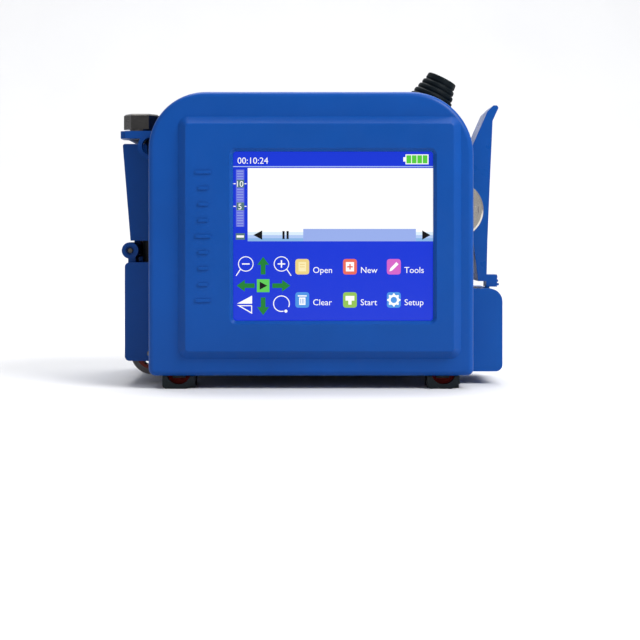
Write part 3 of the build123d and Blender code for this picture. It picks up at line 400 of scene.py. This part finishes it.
def outward(points: np.ndarray, faces: Sequence[Sequence[int]]) -> list[list[int]]:
    """Turn a closed mesh's faces outwards, by the sign of the volume that they enclose.

    Args:
        points: corners.
        faces: corner numbers of each face, all turned the same way.

    Returns:
        The faces, reversed where the volume came out negative.
    """
    volume = 0.0
    for size in {len(face) for face in faces}:
        same = points[np.array([face for face in faces if len(face) == size])]
        fans = np.cross(same[:, 1:-1], same[:, 2:])
        volume += float(np.einsum("ij,ikj->", same[:, 0], fans))
    return [list(face) if volume > 0 else list(face)[::-1] for face in faces]


def put_mesh(name: str, points: np.ndarray, faces: Sequence[Sequence[int]], smooth: bool) -> bpy.types.Object:
    """Make an object from arrays.

    Args:
        name: the piece's name.
        points: corners, one row each.
        faces: corner numbers of each face, pointing outwards.
        smooth: whether the surface is shaded smooth.

    Returns:
        The object, linked and at the origin.
    """
    mesh = bpy.data.meshes.new(name)
    mesh.from_pydata(points.tolist(), [], outward(points, faces))
    mesh.polygons.foreach_set("use_smooth", np.full(len(faces), smooth))
    mesh.update()
    piece = bpy.data.objects.new(name, mesh)
    bpy.context.scene.collection.objects.link(piece)
    return piece


def grid_faces(rows: int, columns: int) -> np.ndarray:
    """Quads of a grid whose columns wrap round, and whose rows may wrap too.

    Args:
        rows: stations along the profile.
        columns: stations round the axis.

    Returns:
        Corner numbers, four to a face.
    """
    row = np.arange(rows)[:, None]
    column = np.arange(columns)[None, :]
    after_row, after_column = (row + 1) % rows, (column + 1) % columns
    corners = [row * columns + column, row * columns + after_column]
    corners += [after_row * columns + after_column, after_row * columns + column]
    return np.stack(np.broadcast_arrays(*corners), axis=-1).reshape(-1, 4)


def revolve(
    name: str, profile: np.ndarray, centre: Vector, axis: Vector, columns: int = 96
) -> bpy.types.Object:
    """Turn a closed profile round an axis: P = C + h A + r (cos t U + sin t V).

    Args:
        profile: radius and height along the axis, one row each, running round the section.
        centre: a point on the axis, at height 0.
        axis: direction of rising height.
        columns: stations round the axis.

    Returns:
        The piece.
    """
    along = axis.normalized()
    across = along.orthogonal().normalized()
    around = along.cross(across)
    turn = np.linspace(0.0, math.tau, columns, endpoint=False)
    spokes = np.cos(turn)[:, None] * np.array(across) + np.sin(turn)[:, None] * np.array(around)
    points = profile[:, :1, None] * spokes[None] + (profile[:, 1:, None] * np.array(along))
    points = points.reshape(-1, 3) + np.array(centre)
    return put_mesh(name, points, grid_faces(len(profile), columns).tolist(), True)


def rounded_section(corners: Sequence[Point], radius: float, steps: int = 5) -> np.ndarray:
    """Round the corners of a closed section by quadratic arcs.

    Each corner P becomes (1 - t)^2 A + 2 t (1 - t) P + t^2 B between points A and B on its two sides.

    Args:
        corners: the section's corners in order.
        radius: reach of the rounding along each side.
        steps: points on each arc.

    Returns:
        The rounded outline.
    """
    here = np.array(corners, float)
    before, after = np.roll(here, 1, axis=0), np.roll(here, -1, axis=0)
    t = np.linspace(0.0, 1.0, steps)[None, :, None]

    def toward(other: np.ndarray) -> np.ndarray:
        """Points on the sides, a reach away from each corner."""
        side = other - here
        length = np.linalg.norm(side, axis=1, keepdims=True)
        return here + side / length * np.minimum(radius, 0.45 * length)

    start, end = toward(before)[:, None], toward(after)[:, None]
    arcs = (1 - t) ** 2 * start + 2 * t * (1 - t) * here[:, None] + t**2 * end
    return arcs.reshape(-1, 2)


def circle(
    centre: Point, radius: float, steps: int = 40, start: float = 0.0, sweep: float = math.tau
) -> np.ndarray:
    """Points on a circle or an arc.

    Args:
        centre: its centre.
        radius: its radius.
        steps: number of points.
        start: first angle.
        sweep: angle covered.

    Returns:
        The points.
    """
    turn = start + np.linspace(0.0, sweep, steps, endpoint=sweep < math.tau)
    return np.stack([centre[0] + radius * np.cos(turn), centre[1] + radius * np.sin(turn)], axis=1)


def rectangle(x: Point, y: Point) -> np.ndarray:
    """Corners of a rectangle."""
    return np.array([(x[0], y[0]), (x[1], y[0]), (x[1], y[1]), (x[0], y[1])])


def ring(
    centre: Point, outer: float, inner: float, start: float = 0.0, sweep: float = math.tau
) -> np.ndarray:
    """Outline of an arc with a width, as one closed band.

    Args:
        centre: its centre.
        outer: outer radius.
        inner: inner radius.
        start: first angle.
        sweep: angle covered, short of a full turn.

    Returns:
        The points.
    """
    span = min(sweep, math.tau - 0.02)
    out = circle(centre, outer, 40, start, span)
    back = circle(centre, inner, 40, start, span)[::-1]
    return np.concatenate([out, back])


@dataclass(frozen=True)
class Board:
    """A drawing plane in space: P = origin + a right + b up + d out, where out = right x up."""

    origin: Vector
    right: Vector
    up: Vector

    def lift(self, outline: np.ndarray, height: float) -> np.ndarray:
        """Place flat points at a height over the plane."""
        out = self.right.cross(self.up)
        flat = outline[:, :1] * np.array(self.right) + outline[:, 1:2] * np.array(self.up)
        return flat + np.array(self.origin) + height * np.array(out)

    def slab(
        self, outline: np.ndarray, low: float, high: float, start: int = 0
    ) -> tuple[np.ndarray, list[list[int]]]:
        """A thin solid with a flat outline.

        Args:
            outline: the outline, in metres on the plane.
            low: height of its underside.
            high: height of its face.
            start: number of its first corner in a joined mesh.

        Returns:
            Its corners and its faces, pointing outwards.
        """
        ahead = np.roll(outline, -1, axis=0)
        area = float(np.sum(outline[:, 0] * ahead[:, 1] - ahead[:, 0] * outline[:, 1]))
        outline = outline if area > 0 else outline[::-1]
        count = len(outline)
        points = np.concatenate([self.lift(outline, low), self.lift(outline, high)])
        here = np.arange(count)
        after = (here + 1) % count
        walls = np.stack([here, after, after + count, here + count], axis=1) + start
        caps = [(here[::-1] + start).tolist(), (here + count + start).tolist()]
        return points, walls.tolist() + caps


# ---------------------------------------------------------------- sub-assemblies


@dataclass
class Screen:
    """The lit picture on the touch glass, drawn as thin layers in front of it."""

    edge: float = 2.5 * MM
    skin: float = 0.03 * MM
    letter: float = 2.7 * MM
    drawn: Point = (63.3, 54.5)  # width and height that the shapes below are laid out in
    tile: Point = (4.4, 5.0)
    tile_columns: tuple[float, ...] = (19.7, 34.8, 48.7)
    tile_rows: tuple[float, ...] = (34.6, 45.3)
    ruler_lines: int = 22
    ruler_pitch: float = 0.84
    charge_bars: int = 4
    charge_pitch: float = 1.72
    scroll_top: float = 24.9
    words: tuple[str, ...] = ("Open", "New", "Tools", "Clear", "Start", "Setup")
    parts: dict[Finish, list[tuple[np.ndarray, list[list[int]]]]] = field(default_factory=dict)

    def __post_init__(self) -> None:
        """Find the window's top left corner on the glass."""
        low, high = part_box("touch_glass")
        corner = Vector((low.x + self.edge, low.y, high.z - self.edge))
        self.width, self.height = self.drawn
        window = np.array((high.x - low.x - 2 * self.edge, high.z - low.z - 2 * self.edge))
        self.unit = window / np.array(self.drawn) * np.array((1.0, -1.0))
        self.board = Board(corner, Vector((1, 0, 0)), Vector((0, 0, 1)))

    def draw(self, finish: Finish, outline: np.ndarray, layer: int = 1) -> None:
        """Add one shape, in millimetres right of and below the window's corner.

        Args:
            finish: its lit colour.
            outline: its outline.
            layer: how many skins it stands in front of the glass.
        """
        flat = outline * self.unit
        pool = self.parts.setdefault(finish, [])
        start = sum(len(points) for points, _ in pool)
        pool.append(self.board.slab(flat, -self.skin, layer * self.skin, start))

    def write(self, finish: Finish, text: str, place: Point, size: float, layer: int = 2) -> None:
        """Add a word whose foot starts at a place.

        Args:
            finish: its lit colour.
            text: the word.
            place: left end and foot, in millimetres.
            size: letter size in metres.
            layer: how many skins it stands in front of the glass.
        """
        curve = bpy.data.curves.new("word", "FONT")
        curve.body = text
        curve.size = size
        curve.extrude = self.skin
        curve.resolution_u = 3
        word = bpy.data.objects.new("word", curve)
        bpy.context.scene.collection.objects.link(word)
        bpy.context.view_layer.update()
        mesh = bpy.data.meshes.new_from_object(word.evaluated_get(bpy.context.evaluated_depsgraph_get()))
        flat = np.zeros(len(mesh.vertices) * 3)
        mesh.vertices.foreach_get("co", flat)
        letters = flat.reshape(-1, 3)
        height = letters[:, 2:3] + (layer - 1) * self.skin
        out = self.board.right.cross(self.board.up)
        points = letters[:, :1] * np.array(self.board.right) + letters[:, 1:2] * np.array(self.board.up)
        corner = self.board.lift(np.array([place]) * self.unit, 0.0)
        pool = self.parts.setdefault(finish, [])
        start = sum(len(made) for made, _ in pool)
        faces = [[number + start for number in polygon.vertices] for polygon in mesh.polygons]
        pool.append((points + height * np.array(out) + corner, faces))
        bpy.data.objects.remove(word)
        bpy.data.curves.remove(curve)
        bpy.data.meshes.remove(mesh)

    def status_bar(self) -> None:
        """The clock and the charge level along the top."""
        self.draw(Finish.LIT_STATUS, rectangle((0.0, self.width), (0.0, 4.55)))
        self.draw(Finish.LIT_MIST, rectangle((0.0, self.width), (4.7, 4.95)), 2)
        self.write(Finish.LIT_WHITE, "00:10:24", (1.3, 3.9), self.letter * 1.05)
        self.draw(Finish.LIT_WHITE, rectangle((54.6, 61.9), (0.9, 4.1)), 2)
        self.draw(Finish.LIT_WHITE, rectangle((53.9, 54.7), (1.8, 3.2)), 2)
        for index in range(self.charge_bars):
            left = 54.9 + index * self.charge_pitch
            self.draw(Finish.LIT_LIME, rectangle((left, left + 1.5), (1.2, 3.8)), 3)

    def ruler(self) -> None:
        """The scale at the left of the canvas."""
        self.draw(Finish.LIT_RULER, rectangle((0.9, 3.5), (5.8, 24.2)))
        for index in range(self.ruler_lines):
            depth = 6.2 + index * self.ruler_pitch
            self.draw(Finish.LIT_LILAC, rectangle((1.2, 3.2), (depth, depth + 0.22)), 2)
        for text, left, foot in (("10", 0.7, 11.3), ("5", 1.5, 18.6)):
            self.draw(Finish.LIT_TAG, rectangle((1.1, 3.5), (foot - 2.2, foot + 0.3)), 3)
            self.draw(Finish.LIT_WHITE, rectangle((0.1, 0.8), (foot - 1.1, foot - 0.8)), 3)
            self.draw(Finish.LIT_WHITE, rectangle((3.6, 4.2), (foot - 1.1, foot - 0.8)), 3)
            self.write(Finish.LIT_WHITE, text, (left, foot), self.letter * 0.95, 4)
        self.draw(Finish.LIT_TAG, rectangle((0.8, 3.7), (26.3, 28.4)), 3)
        self.draw(Finish.LIT_WHITE, rectangle((1.1, 3.4), (27.0, 27.7)), 4)

    def canvas(self) -> None:
        """The blank preview and the scroll row under it."""
        self.draw(Finish.LIT_WHITE, rectangle((4.6, self.width), (5.3, self.scroll_top)))
        self.draw(Finish.LIT_LILAC, rectangle((4.6, self.width), (self.scroll_top, self.scroll_top + 4.0)), 2)
        bands = (Finish.LIT_WHITE, Finish.LIT_PALE, Finish.LIT_MIST, Finish.LIT_THUMB)
        for span in ((4.6, 22.2), (57.9, self.width)):
            for index, finish in enumerate(bands):
                top = self.scroll_top + index
                self.draw(finish, rectangle(span, (top, top + 1.0)), 3)
        self.draw(Finish.LIT_BLACK, np.array([(6.4, 26.9), (9.2, 25.4), (9.2, 28.4)]), 4)
        self.draw(Finish.LIT_BLACK, np.array([(62.5, 26.9), (59.9, 25.4), (59.9, 28.4)]), 4)
        for left in (15.6, 16.9):
            self.draw(Finish.LIT_BLACK, rectangle((left, left + 0.7), (25.6, 28.2)), 4)

    def arrow(self, centre: Point, turn: int) -> None:
        """A green arrow that points right, turned by quarter turns towards the foot of the screen."""
        upper = [(2.9, 0), (0.3, -1.9), (0.3, -0.75), (-2.8, -0.75)]
        shape = np.array(upper + [(-2.8, 0.75), (0.3, 0.75), (0.3, 1.9)])
        c, s = math.cos(turn * math.pi / 2), math.sin(turn * math.pi / 2)
        self.draw(Finish.LIT_GREEN, shape @ np.array([(c, s), (-s, c)]) + np.array(centre), 2)

    def pad(self) -> None:
        """Arrows, zoom, mirror and turn symbols round the run key."""
        for centre, turn in (((15.2, 43.2), 0), ((9.5, 49.8), 1), ((4.0, 43.2), 2), ((9.5, 36.8), 3)):
            self.arrow(centre, turn)
        self.draw(Finish.LIT_MINT, rectangle((7.5, 11.5), (41.1, 45.3)), 4)
        self.draw(Finish.LIT_BLACK, np.array([(8.4, 41.9), (8.4, 44.5), (10.8, 43.2)]), 5)
        for centre, plus in (((4.0, 36.2), False), ((15.3, 36.2), True)):
            self.draw(Finish.LIT_WHITE, ring(centre, 2.45, 2.18), 2)
            x, y = centre
            self.draw(Finish.LIT_WHITE, rectangle((x - 1.2, x + 1.2), (y - 0.2, y + 0.2)), 2)
            if plus:
                self.draw(Finish.LIT_WHITE, rectangle((x - 0.2, x + 0.2), (y - 1.2, y + 1.2)), 3)
            way = 1 if plus else -1
            handle = np.array([(1.55 * way, 1.8), (1.8 * way, 1.6), (3.2 * way, 3.75), (2.95 * way, 3.9)])
            self.draw(Finish.LIT_WHITE, handle + np.array(centre), 2)
        self.draw(Finish.LIT_WHITE, np.array([(1.2, 49.0), (6.0, 46.4), (6.0, 49.0)]), 2)
        self.draw(Finish.LIT_WHITE, np.array([(1.2, 49.5), (6.0, 49.5), (6.0, 52.3)]), 2)
        self.draw(Finish.SCREEN_GLASS, np.array([(2.4, 49.8), (5.7, 49.8), (5.7, 51.7)]), 3)
        self.draw(Finish.LIT_WHITE, ring((15.3, 49.0), 2.65, 2.35, math.radians(75), math.radians(310)), 2)
        self.draw(Finish.LIT_WHITE, circle((16.7, 51.4), 0.5, 16), 3)

    def tiles(self) -> None:
        """Six coloured keys with a plain sign and a word each."""
        finishes = (
            Finish.LIT_YELLOW,
            Finish.LIT_CORAL,
            Finish.LIT_MAGENTA,
            Finish.LIT_SKY,
            Finish.LIT_OLIVE,
            Finish.LIT_SKY,
        )
        for index, (finish, word) in enumerate(zip(finishes, self.words)):
            left, top = self.tile_columns[index % 3], self.tile_rows[index // 3]
            wide, high = self.tile
            corners = rectangle((left, left + wide), (top, top + high))
            self.draw(finish, rounded_section(corners.tolist(), 1.0), 2)
            self.sign(index, (left + wide / 2, top + high / 2))
            foot = top + high * (0.9 if index < 3 else 0.84)
            self.write(Finish.LIT_WHITE, word, (left + wide + 1.1, foot), self.letter)

    def sign(self, index: int, centre: Point) -> None:
        """One key's sign.

        Args:
            index: which key, counted along the rows.
            centre: the key's middle, in millimetres.
        """
        x, y = centre
        white = Finish.LIT_CREAM if index == 0 else Finish.LIT_WHITE
        if index == 0:
            self.draw(white, rectangle((x - 1.2, x + 1.2), (y - 1.5, y + 1.5)), 3)
            self.draw(Finish.LIT_YELLOW, rectangle((x - 0.8, x + 0.8), (y - 0.9, y - 0.6)), 4)
            self.draw(Finish.LIT_YELLOW, rectangle((x - 0.8, x + 0.8), (y - 0.1, y + 0.2)), 4)
        elif index == 1:
            self.draw(white, rectangle((x - 1.3, x + 1.3), (y - 1.5, y + 1.5)), 3)
            self.draw(Finish.LIT_CORAL, rectangle((x - 0.9, x + 0.9), (y - 0.2, y + 0.25)), 4)
            self.draw(Finish.LIT_CORAL, rectangle((x - 0.2, x + 0.25), (y - 0.9, y + 0.9)), 5)
        elif index == 2:
            nib = np.array([(-1.4, 1.5), (-1.1, 0.5), (0.8, -1.5), (1.5, -0.8), (-0.5, 1.2)])
            self.draw(white, nib + np.array(centre), 3)
        elif index == 3:
            self.draw(white, rectangle((x - 1.0, x + 1.0), (y - 0.8, y + 1.6)), 3)
            self.draw(white, rectangle((x - 1.4, x + 1.4), (y - 1.5, y - 1.1)), 3)
            for offset in (-0.5, 0.0, 0.5):
                slit = (x + offset - 0.1, x + offset + 0.1)
                self.draw(Finish.LIT_SKY, rectangle(slit, (y - 0.4, y + 1.2)), 4)
        elif index == 4:
            self.draw(white, rectangle((x - 1.4, x + 1.4), (y - 1.3, y + 0.2)), 3)
            self.draw(white, rectangle((x - 0.5, x + 0.5), (y + 0.2, y + 1.5)), 3)
        else:
            self.draw(white, ring(centre, 1.7, 1.0), 3)
            for turn in np.linspace(0.0, math.tau, 8, endpoint=False):
                tooth = circle((x + 1.8 * math.cos(turn), y + 1.8 * math.sin(turn)), 0.35, 8)
                self.draw(white, tooth, 4)

    def build(self) -> None:
        """Draw everything and join it by colour."""
        self.status_bar()
        self.ruler()
        self.canvas()
        self.pad()
        self.tiles()
        for finish, pool in self.parts.items():
            points = np.concatenate([made for made, _ in pool])
            faces = [face for _, made in pool for face in made]
            name = "screen_" + finish.name.lower()
            mesh = bpy.data.meshes.new(name)
            mesh.from_pydata(points.tolist(), [], faces)
            piece = bpy.data.objects.new(name, mesh)
            bpy.context.scene.collection.objects.link(piece)
            dress(piece, finish)
            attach(piece, "case")
            LOG.info("%s: %d faces", name, len(faces))


@dataclass
class PrintButton:
    """The ribbed rubber boot over the print button, square to the slanted corner."""

    collar_middle: float = 1.8 * MM
    skirt: float = 2.7 * MM
    top: float = 12.0 * MM
    ceiling: float = 8.8 * MM
    bore: float = 4.6 * MM
    skirt_radius: float = 7.4 * MM
    top_radius: float = 5.2 * MM
    groove: float = 0.75 * MM
    ribs: int = 4

    def section(self) -> np.ndarray:
        """The boot's section: stepped ribs outside, a plain bore inside."""
        step = (self.top - self.skirt) / (self.ribs + 1)
        corners = [(1e-5, self.ceiling), (self.bore, self.ceiling), (self.bore, self.skirt)]
        for index in range(self.ribs):
            radius = self.skirt_radius + (self.top_radius - self.skirt_radius) * index / self.ribs
            low = self.skirt + index * step
            corners += [(radius, low), (radius - 0.15 * MM, low + 0.62 * step)]
            corners += [(radius - self.groove, low + 0.68 * step), (radius - self.groove, low + 0.97 * step)]
        corners += [(self.top_radius, self.top - step), (self.top_radius - 0.2 * MM, self.top)]
        corners.append((1e-5, self.top))
        return rounded_section(corners, 0.45 * MM, 6)

    def build(self) -> None:
        """Make the boot and put it in the cap's place."""
        joint = next(j for j in frame["joints"] if j["name"] == "button_press")
        axis = -Vector(joint["axis"]).normalized()
        low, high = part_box("button_collar")
        foot = (low + high) / 2 - axis * self.collar_middle
        boot = revolve("ribbed_boot", self.section(), foot, axis)
        dress(boot, Finish.BLACK_RUBBER)
        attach(boot, "print_button")
        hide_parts("button_cap")
        LOG.info("ribbed_boot: %d faces", len(boot.data.polygons))


@dataclass
class Casing:
    """Shells, covers and what is fastened to them."""

    finishes: dict[str, Finish] = field(
        default_factory=lambda: {
            "front_shell": Finish.BLUE_CASE,
            "rear_shell": Finish.BLUE_BODY,
            "battery_cover": Finish.BLUE_BODY,
            # The roof bracket takes the darker blue copy: painted shade for the left side.
            "roof_bracket": Finish.BLUE_PAINTED_SHADE,
            "hex_bolt": Finish.DARK_STEEL,
            "bolt_washer": Finish.DARK_STEEL,
            "shell_screws": Finish.DARK_STEEL,
            "rear_inserts": Finish.BRASS,
            "rating_plate": Finish.PLATE,
            "usb_socket": Finish.SHEET_METAL,
            "power_inlet": Finish.BLACK_PLASTIC,
            "sensor_socket": Finish.BLACK_PLASTIC,
            "power_slider": Finish.BLUE_MOVING,
            "slide_switch": Finish.BLACK_PLASTIC,
        }
    )
    rim: float = 0.9 * MM
    proud: float = 0.5 * MM

    def port_rim(self, node: str) -> None:
        """Put a turned ring round one round socket.

        Args:
            node: the socket's node.
        """
        low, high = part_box(node)
        radius = (high.z - low.z) / 2
        middle = Vector((high.x, (low.y + high.y) / 2, (low.z + high.z) / 2))
        corners = [(radius - 0.2 * MM, 0.0), (radius + self.rim, 0.0)]
        corners += [(radius + self.rim, self.proud), (radius - 0.2 * MM, self.proud)]
        collar = revolve(node + "_rim", rounded_section(corners, 0.2 * MM), middle, Vector((1, 0, 0)))
        dress(collar, Finish.NICKEL)
        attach(collar, "case")
        LOG.info("%s_rim", node)

    def build(self) -> None:
        """Dress the shells and add the rims."""
        dress_nodes(self.finishes)
        for node in ("power_inlet", "sensor_socket"):
            self.port_rim(node)


@dataclass
class CartridgeSide:
    """The ink cartridge, its bay and door, and the encoder wheel."""

    finishes: dict[str, Finish] = field(
        default_factory=lambda: {
            # Bay and door take the darker blue copy: painted shade for the left side.
            "cartridge_bay": Finish.BLUE_PAINTED_SHADE,
            "cartridge_door": Finish.BLUE_PAINTED_SHADE,
            "door_pin": Finish.DARK_STEEL,
            "cartridge_body": Finish.CARTRIDGE,
            "cartridge_lid": Finish.CARTRIDGE,
            "nozzle_plate": Finish.GOLD_PLATE,
            "contact_block": Finish.BLACK_PLASTIC,
            "encoder_hub": Finish.RED_HUB,
            "encoder_tyre": Finish.GREY_TYRE,
            "encoder_axle": Finish.DARK_STEEL,
            "encoder_sensor": Finish.BLACK_PLASTIC,
        }
    )
    band_rise: float = 0.15 * MM
    band_margin: float = 5.0 * MM

    def band(self) -> None:
        """A blank coloured label on the cartridge's outer side, seen with the door open."""
        low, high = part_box("cartridge_body")
        board = Board(Vector((low.x, high.y, 0.0)), Vector((0, -1, 0)), Vector((0, 0, 1)))
        across = (self.band_margin, high.y - low.y - self.band_margin)
        for name, finish, rows in (
            ("cartridge_band", Finish.PLATE, (high.z - 0.026, high.z - 0.004)),
            ("cartridge_stripe", Finish.RED_HUB, (high.z - 0.031, high.z - 0.027)),
        ):
            outline = rounded_section(rectangle(across, rows).tolist(), 1.2 * MM)
            points, faces = board.slab(outline, -self.band_rise, self.band_rise)
            piece = put_mesh(name, points, faces, False)
            dress(piece, finish)
            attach(piece, "case")
            LOG.info("%s", name)

    def build(self) -> None:
        """Dress the nodes and add the label."""
        dress_nodes(self.finishes)
        self.band()


@dataclass
class RunningGear:
    """Guide shoes and the rollers in them."""

    places: tuple[str, ...] = ("front_left", "front_right", "rear_left", "rear_right")

    def build(self) -> None:
        """Dress shoes, rollers and axles."""
        finishes = {"roller_axles": Finish.DARK_STEEL}
        for place in self.places:
            finishes["guide_shoe_" + place] = Finish.BLACK_PLASTIC
            finishes["guide_roller_" + place] = Finish.RED_RUBBER
        dress_nodes(finishes)


@dataclass
class Controls:
    """The release lever on its slotted screw, and the print button's works."""

    finishes: dict[str, Finish] = field(
        default_factory=lambda: {
            "release_lever": Finish.BLUE_MOVING,
            "lever_screw": Finish.NICKEL,
            "lever_spring": Finish.DARK_STEEL,
            "button_cap": Finish.BLACK_RUBBER,
            "button_stem": Finish.BLACK_PLASTIC,
            "button_collar": Finish.BLACK_PLASTIC,
            "button_switch": Finish.BLACK_PLASTIC,
        }
    )

    def build(self) -> None:
        """Dress the nodes and make the boot."""
        dress_nodes(self.finishes)
        PrintButton().build()


@dataclass
class Works:
    """The screen stack, boards and cells inside."""

    finishes: dict[str, Finish] = field(
        default_factory=lambda: {
            "touch_glass": Finish.SCREEN_GLASS,
            "screen_gasket": Finish.BLACK_RUBBER,
            "lcd_panel": Finish.DISPLAY,
            "lcd_frame": Finish.SHEET_METAL,
            "main_board": Finish.CIRCUIT_BOARD,
            "driver_board": Finish.CIRCUIT_BOARD,
            "board_chips": Finish.BLACK_PLASTIC,
            "buzzer": Finish.BLACK_PLASTIC,
            "battery_case": Finish.BLACK_PLASTIC,
            "battery_cells": Finish.CELL_WRAP,
        }
    )

    def build(self) -> None:
        """Dress the nodes and draw the lit picture."""
        dress_nodes(self.finishes)
        Screen().build()


def dress_nodes(finishes: dict[str, Finish]) -> None:
    """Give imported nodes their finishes.

    Args:
        finishes: the finish of each node.
    """
    for node, finish in finishes.items():
        dress(frame["nodes"][node], finish)
        LOG.info("%s: %s", node, finish.value.name)


# ---------------------------------------------------------------- studio


@dataclass
class Studio:
    """Pale sweep, soft lights and the camera."""

    distance: float = 0.5
    view_width: float = 0.1992  # width of the view at the machine's face
    eye_height: float = 0.0482
    shift: Point = (0.014, -0.1325)
    half_width: float = 2.0
    floor_front: float = -2.0
    floor_depth: float = 1.1
    curve: float = 0.6
    wall_top: float = 2.4
    aim: Colour = (0.0, 0.0, 0.05)
    backdrop_aim: Colour = (0.0, 1.7, 0.6)
    room_light: float = 0.45

    def sweep(self) -> None:
        """A floor that curves up into a backdrop: flat, then a quarter circle, then a wall."""
        turn = np.linspace(0.0, math.pi / 2, 24)
        wall = self.floor_depth + self.curve
        y = np.concatenate([[self.floor_front], self.floor_depth + self.curve * np.sin(turn), [wall]])
        z = np.concatenate([[0.0], self.curve * (1 - np.cos(turn)), [self.wall_top]])
        left = np.stack([np.full_like(y, -self.half_width), y, z], axis=1)
        right = left * np.array((-1.0, 1.0, 1.0))
        rows = np.arange(len(y) - 1)
        faces = np.stack([rows, rows + len(y), rows + len(y) + 1, rows + 1], axis=1)
        mesh = bpy.data.meshes.new("pale_sweep")
        mesh.from_pydata(np.concatenate([left, right]).tolist(), [], faces.tolist())
        mesh.polygons.foreach_set("use_smooth", np.full(len(faces), True))
        floor = bpy.data.objects.new("pale_sweep", mesh)
        bpy.context.scene.collection.objects.link(floor)
        graph = Graph("pale paper")
        graph.feed("Base Color", graph.blend(graph.noise(9.0), (0.66, 0.66, 0.67), (0.7, 0.7, 0.7)))
        graph.feed("Roughness", 0.9)
        mesh.materials.append(graph.material)

    def light(self, name: str, place: Colour, size: float, power: float, target: Colour) -> None:
        """Add a soft light.

        Args:
            name: its name.
            place: where it stands.
            size: its side.
            power: watts.
            target: the point that it is aimed at.
        """
        lamp = bpy.data.lights.new(name, "AREA")
        lamp.size = size
        lamp.energy = power
        holder = bpy.data.objects.new(name, lamp)
        holder.location = place
        aim = Vector(target) - Vector(place)
        holder.rotation_euler = aim.to_track_quat("-Z", "Y").to_euler()
        bpy.context.scene.collection.objects.link(holder)

    def build(self) -> None:
        """Set the floor, the lights, the surroundings and the camera."""
        self.sweep()
        self.light("key", (0.52, -0.42, 0.66), 0.45, 9.0, self.aim)
        self.light("fill", (-0.7, -0.8, 0.3), 0.8, 0.8, self.aim)
        self.light("top", (-0.1, 0.25, 0.95), 0.6, 2.5, self.aim)
        self.light("backdrop", (0.0, 0.9, 2.2), 1.5, 46.0, self.backdrop_aim)
        world = bpy.data.worlds.new("soft room")
        world.use_nodes = True
        back = world.node_tree.nodes["Background"]
        back.inputs["Color"].default_value = (0.93, 0.95, 1.0, 1.0)
        back.inputs["Strength"].default_value = self.room_light
        bpy.context.scene.world = world
        bpy.context.scene.view_settings.view_transform = "Standard"
        lens = bpy.data.cameras.new("camera")
        lens.lens = lens.sensor_width * self.distance / self.view_width
        lens.shift_x, lens.shift_y = self.shift
        lens.clip_start = 0.01
        camera = bpy.data.objects.new("camera", lens)
        camera.location = (0.0, CAD_BOX[0][1] - self.distance, self.eye_height)
        camera.rotation_euler = (math.pi / 2, 0.0, 0.0)
        bpy.context.scene.collection.objects.link(camera)
        bpy.context.scene.camera = camera


def main() -> None:
    """Build the studio and every sub-assembly."""
    logging.basicConfig(level=logging.INFO, format="%(message)s")
    for part in (Studio(), Casing(), CartridgeSide(), RunningGear(), Controls(), Works()):
        part.build()
        LOG.info("%s done", type(part).__name__)


if __name__ == "__main__":
    main()
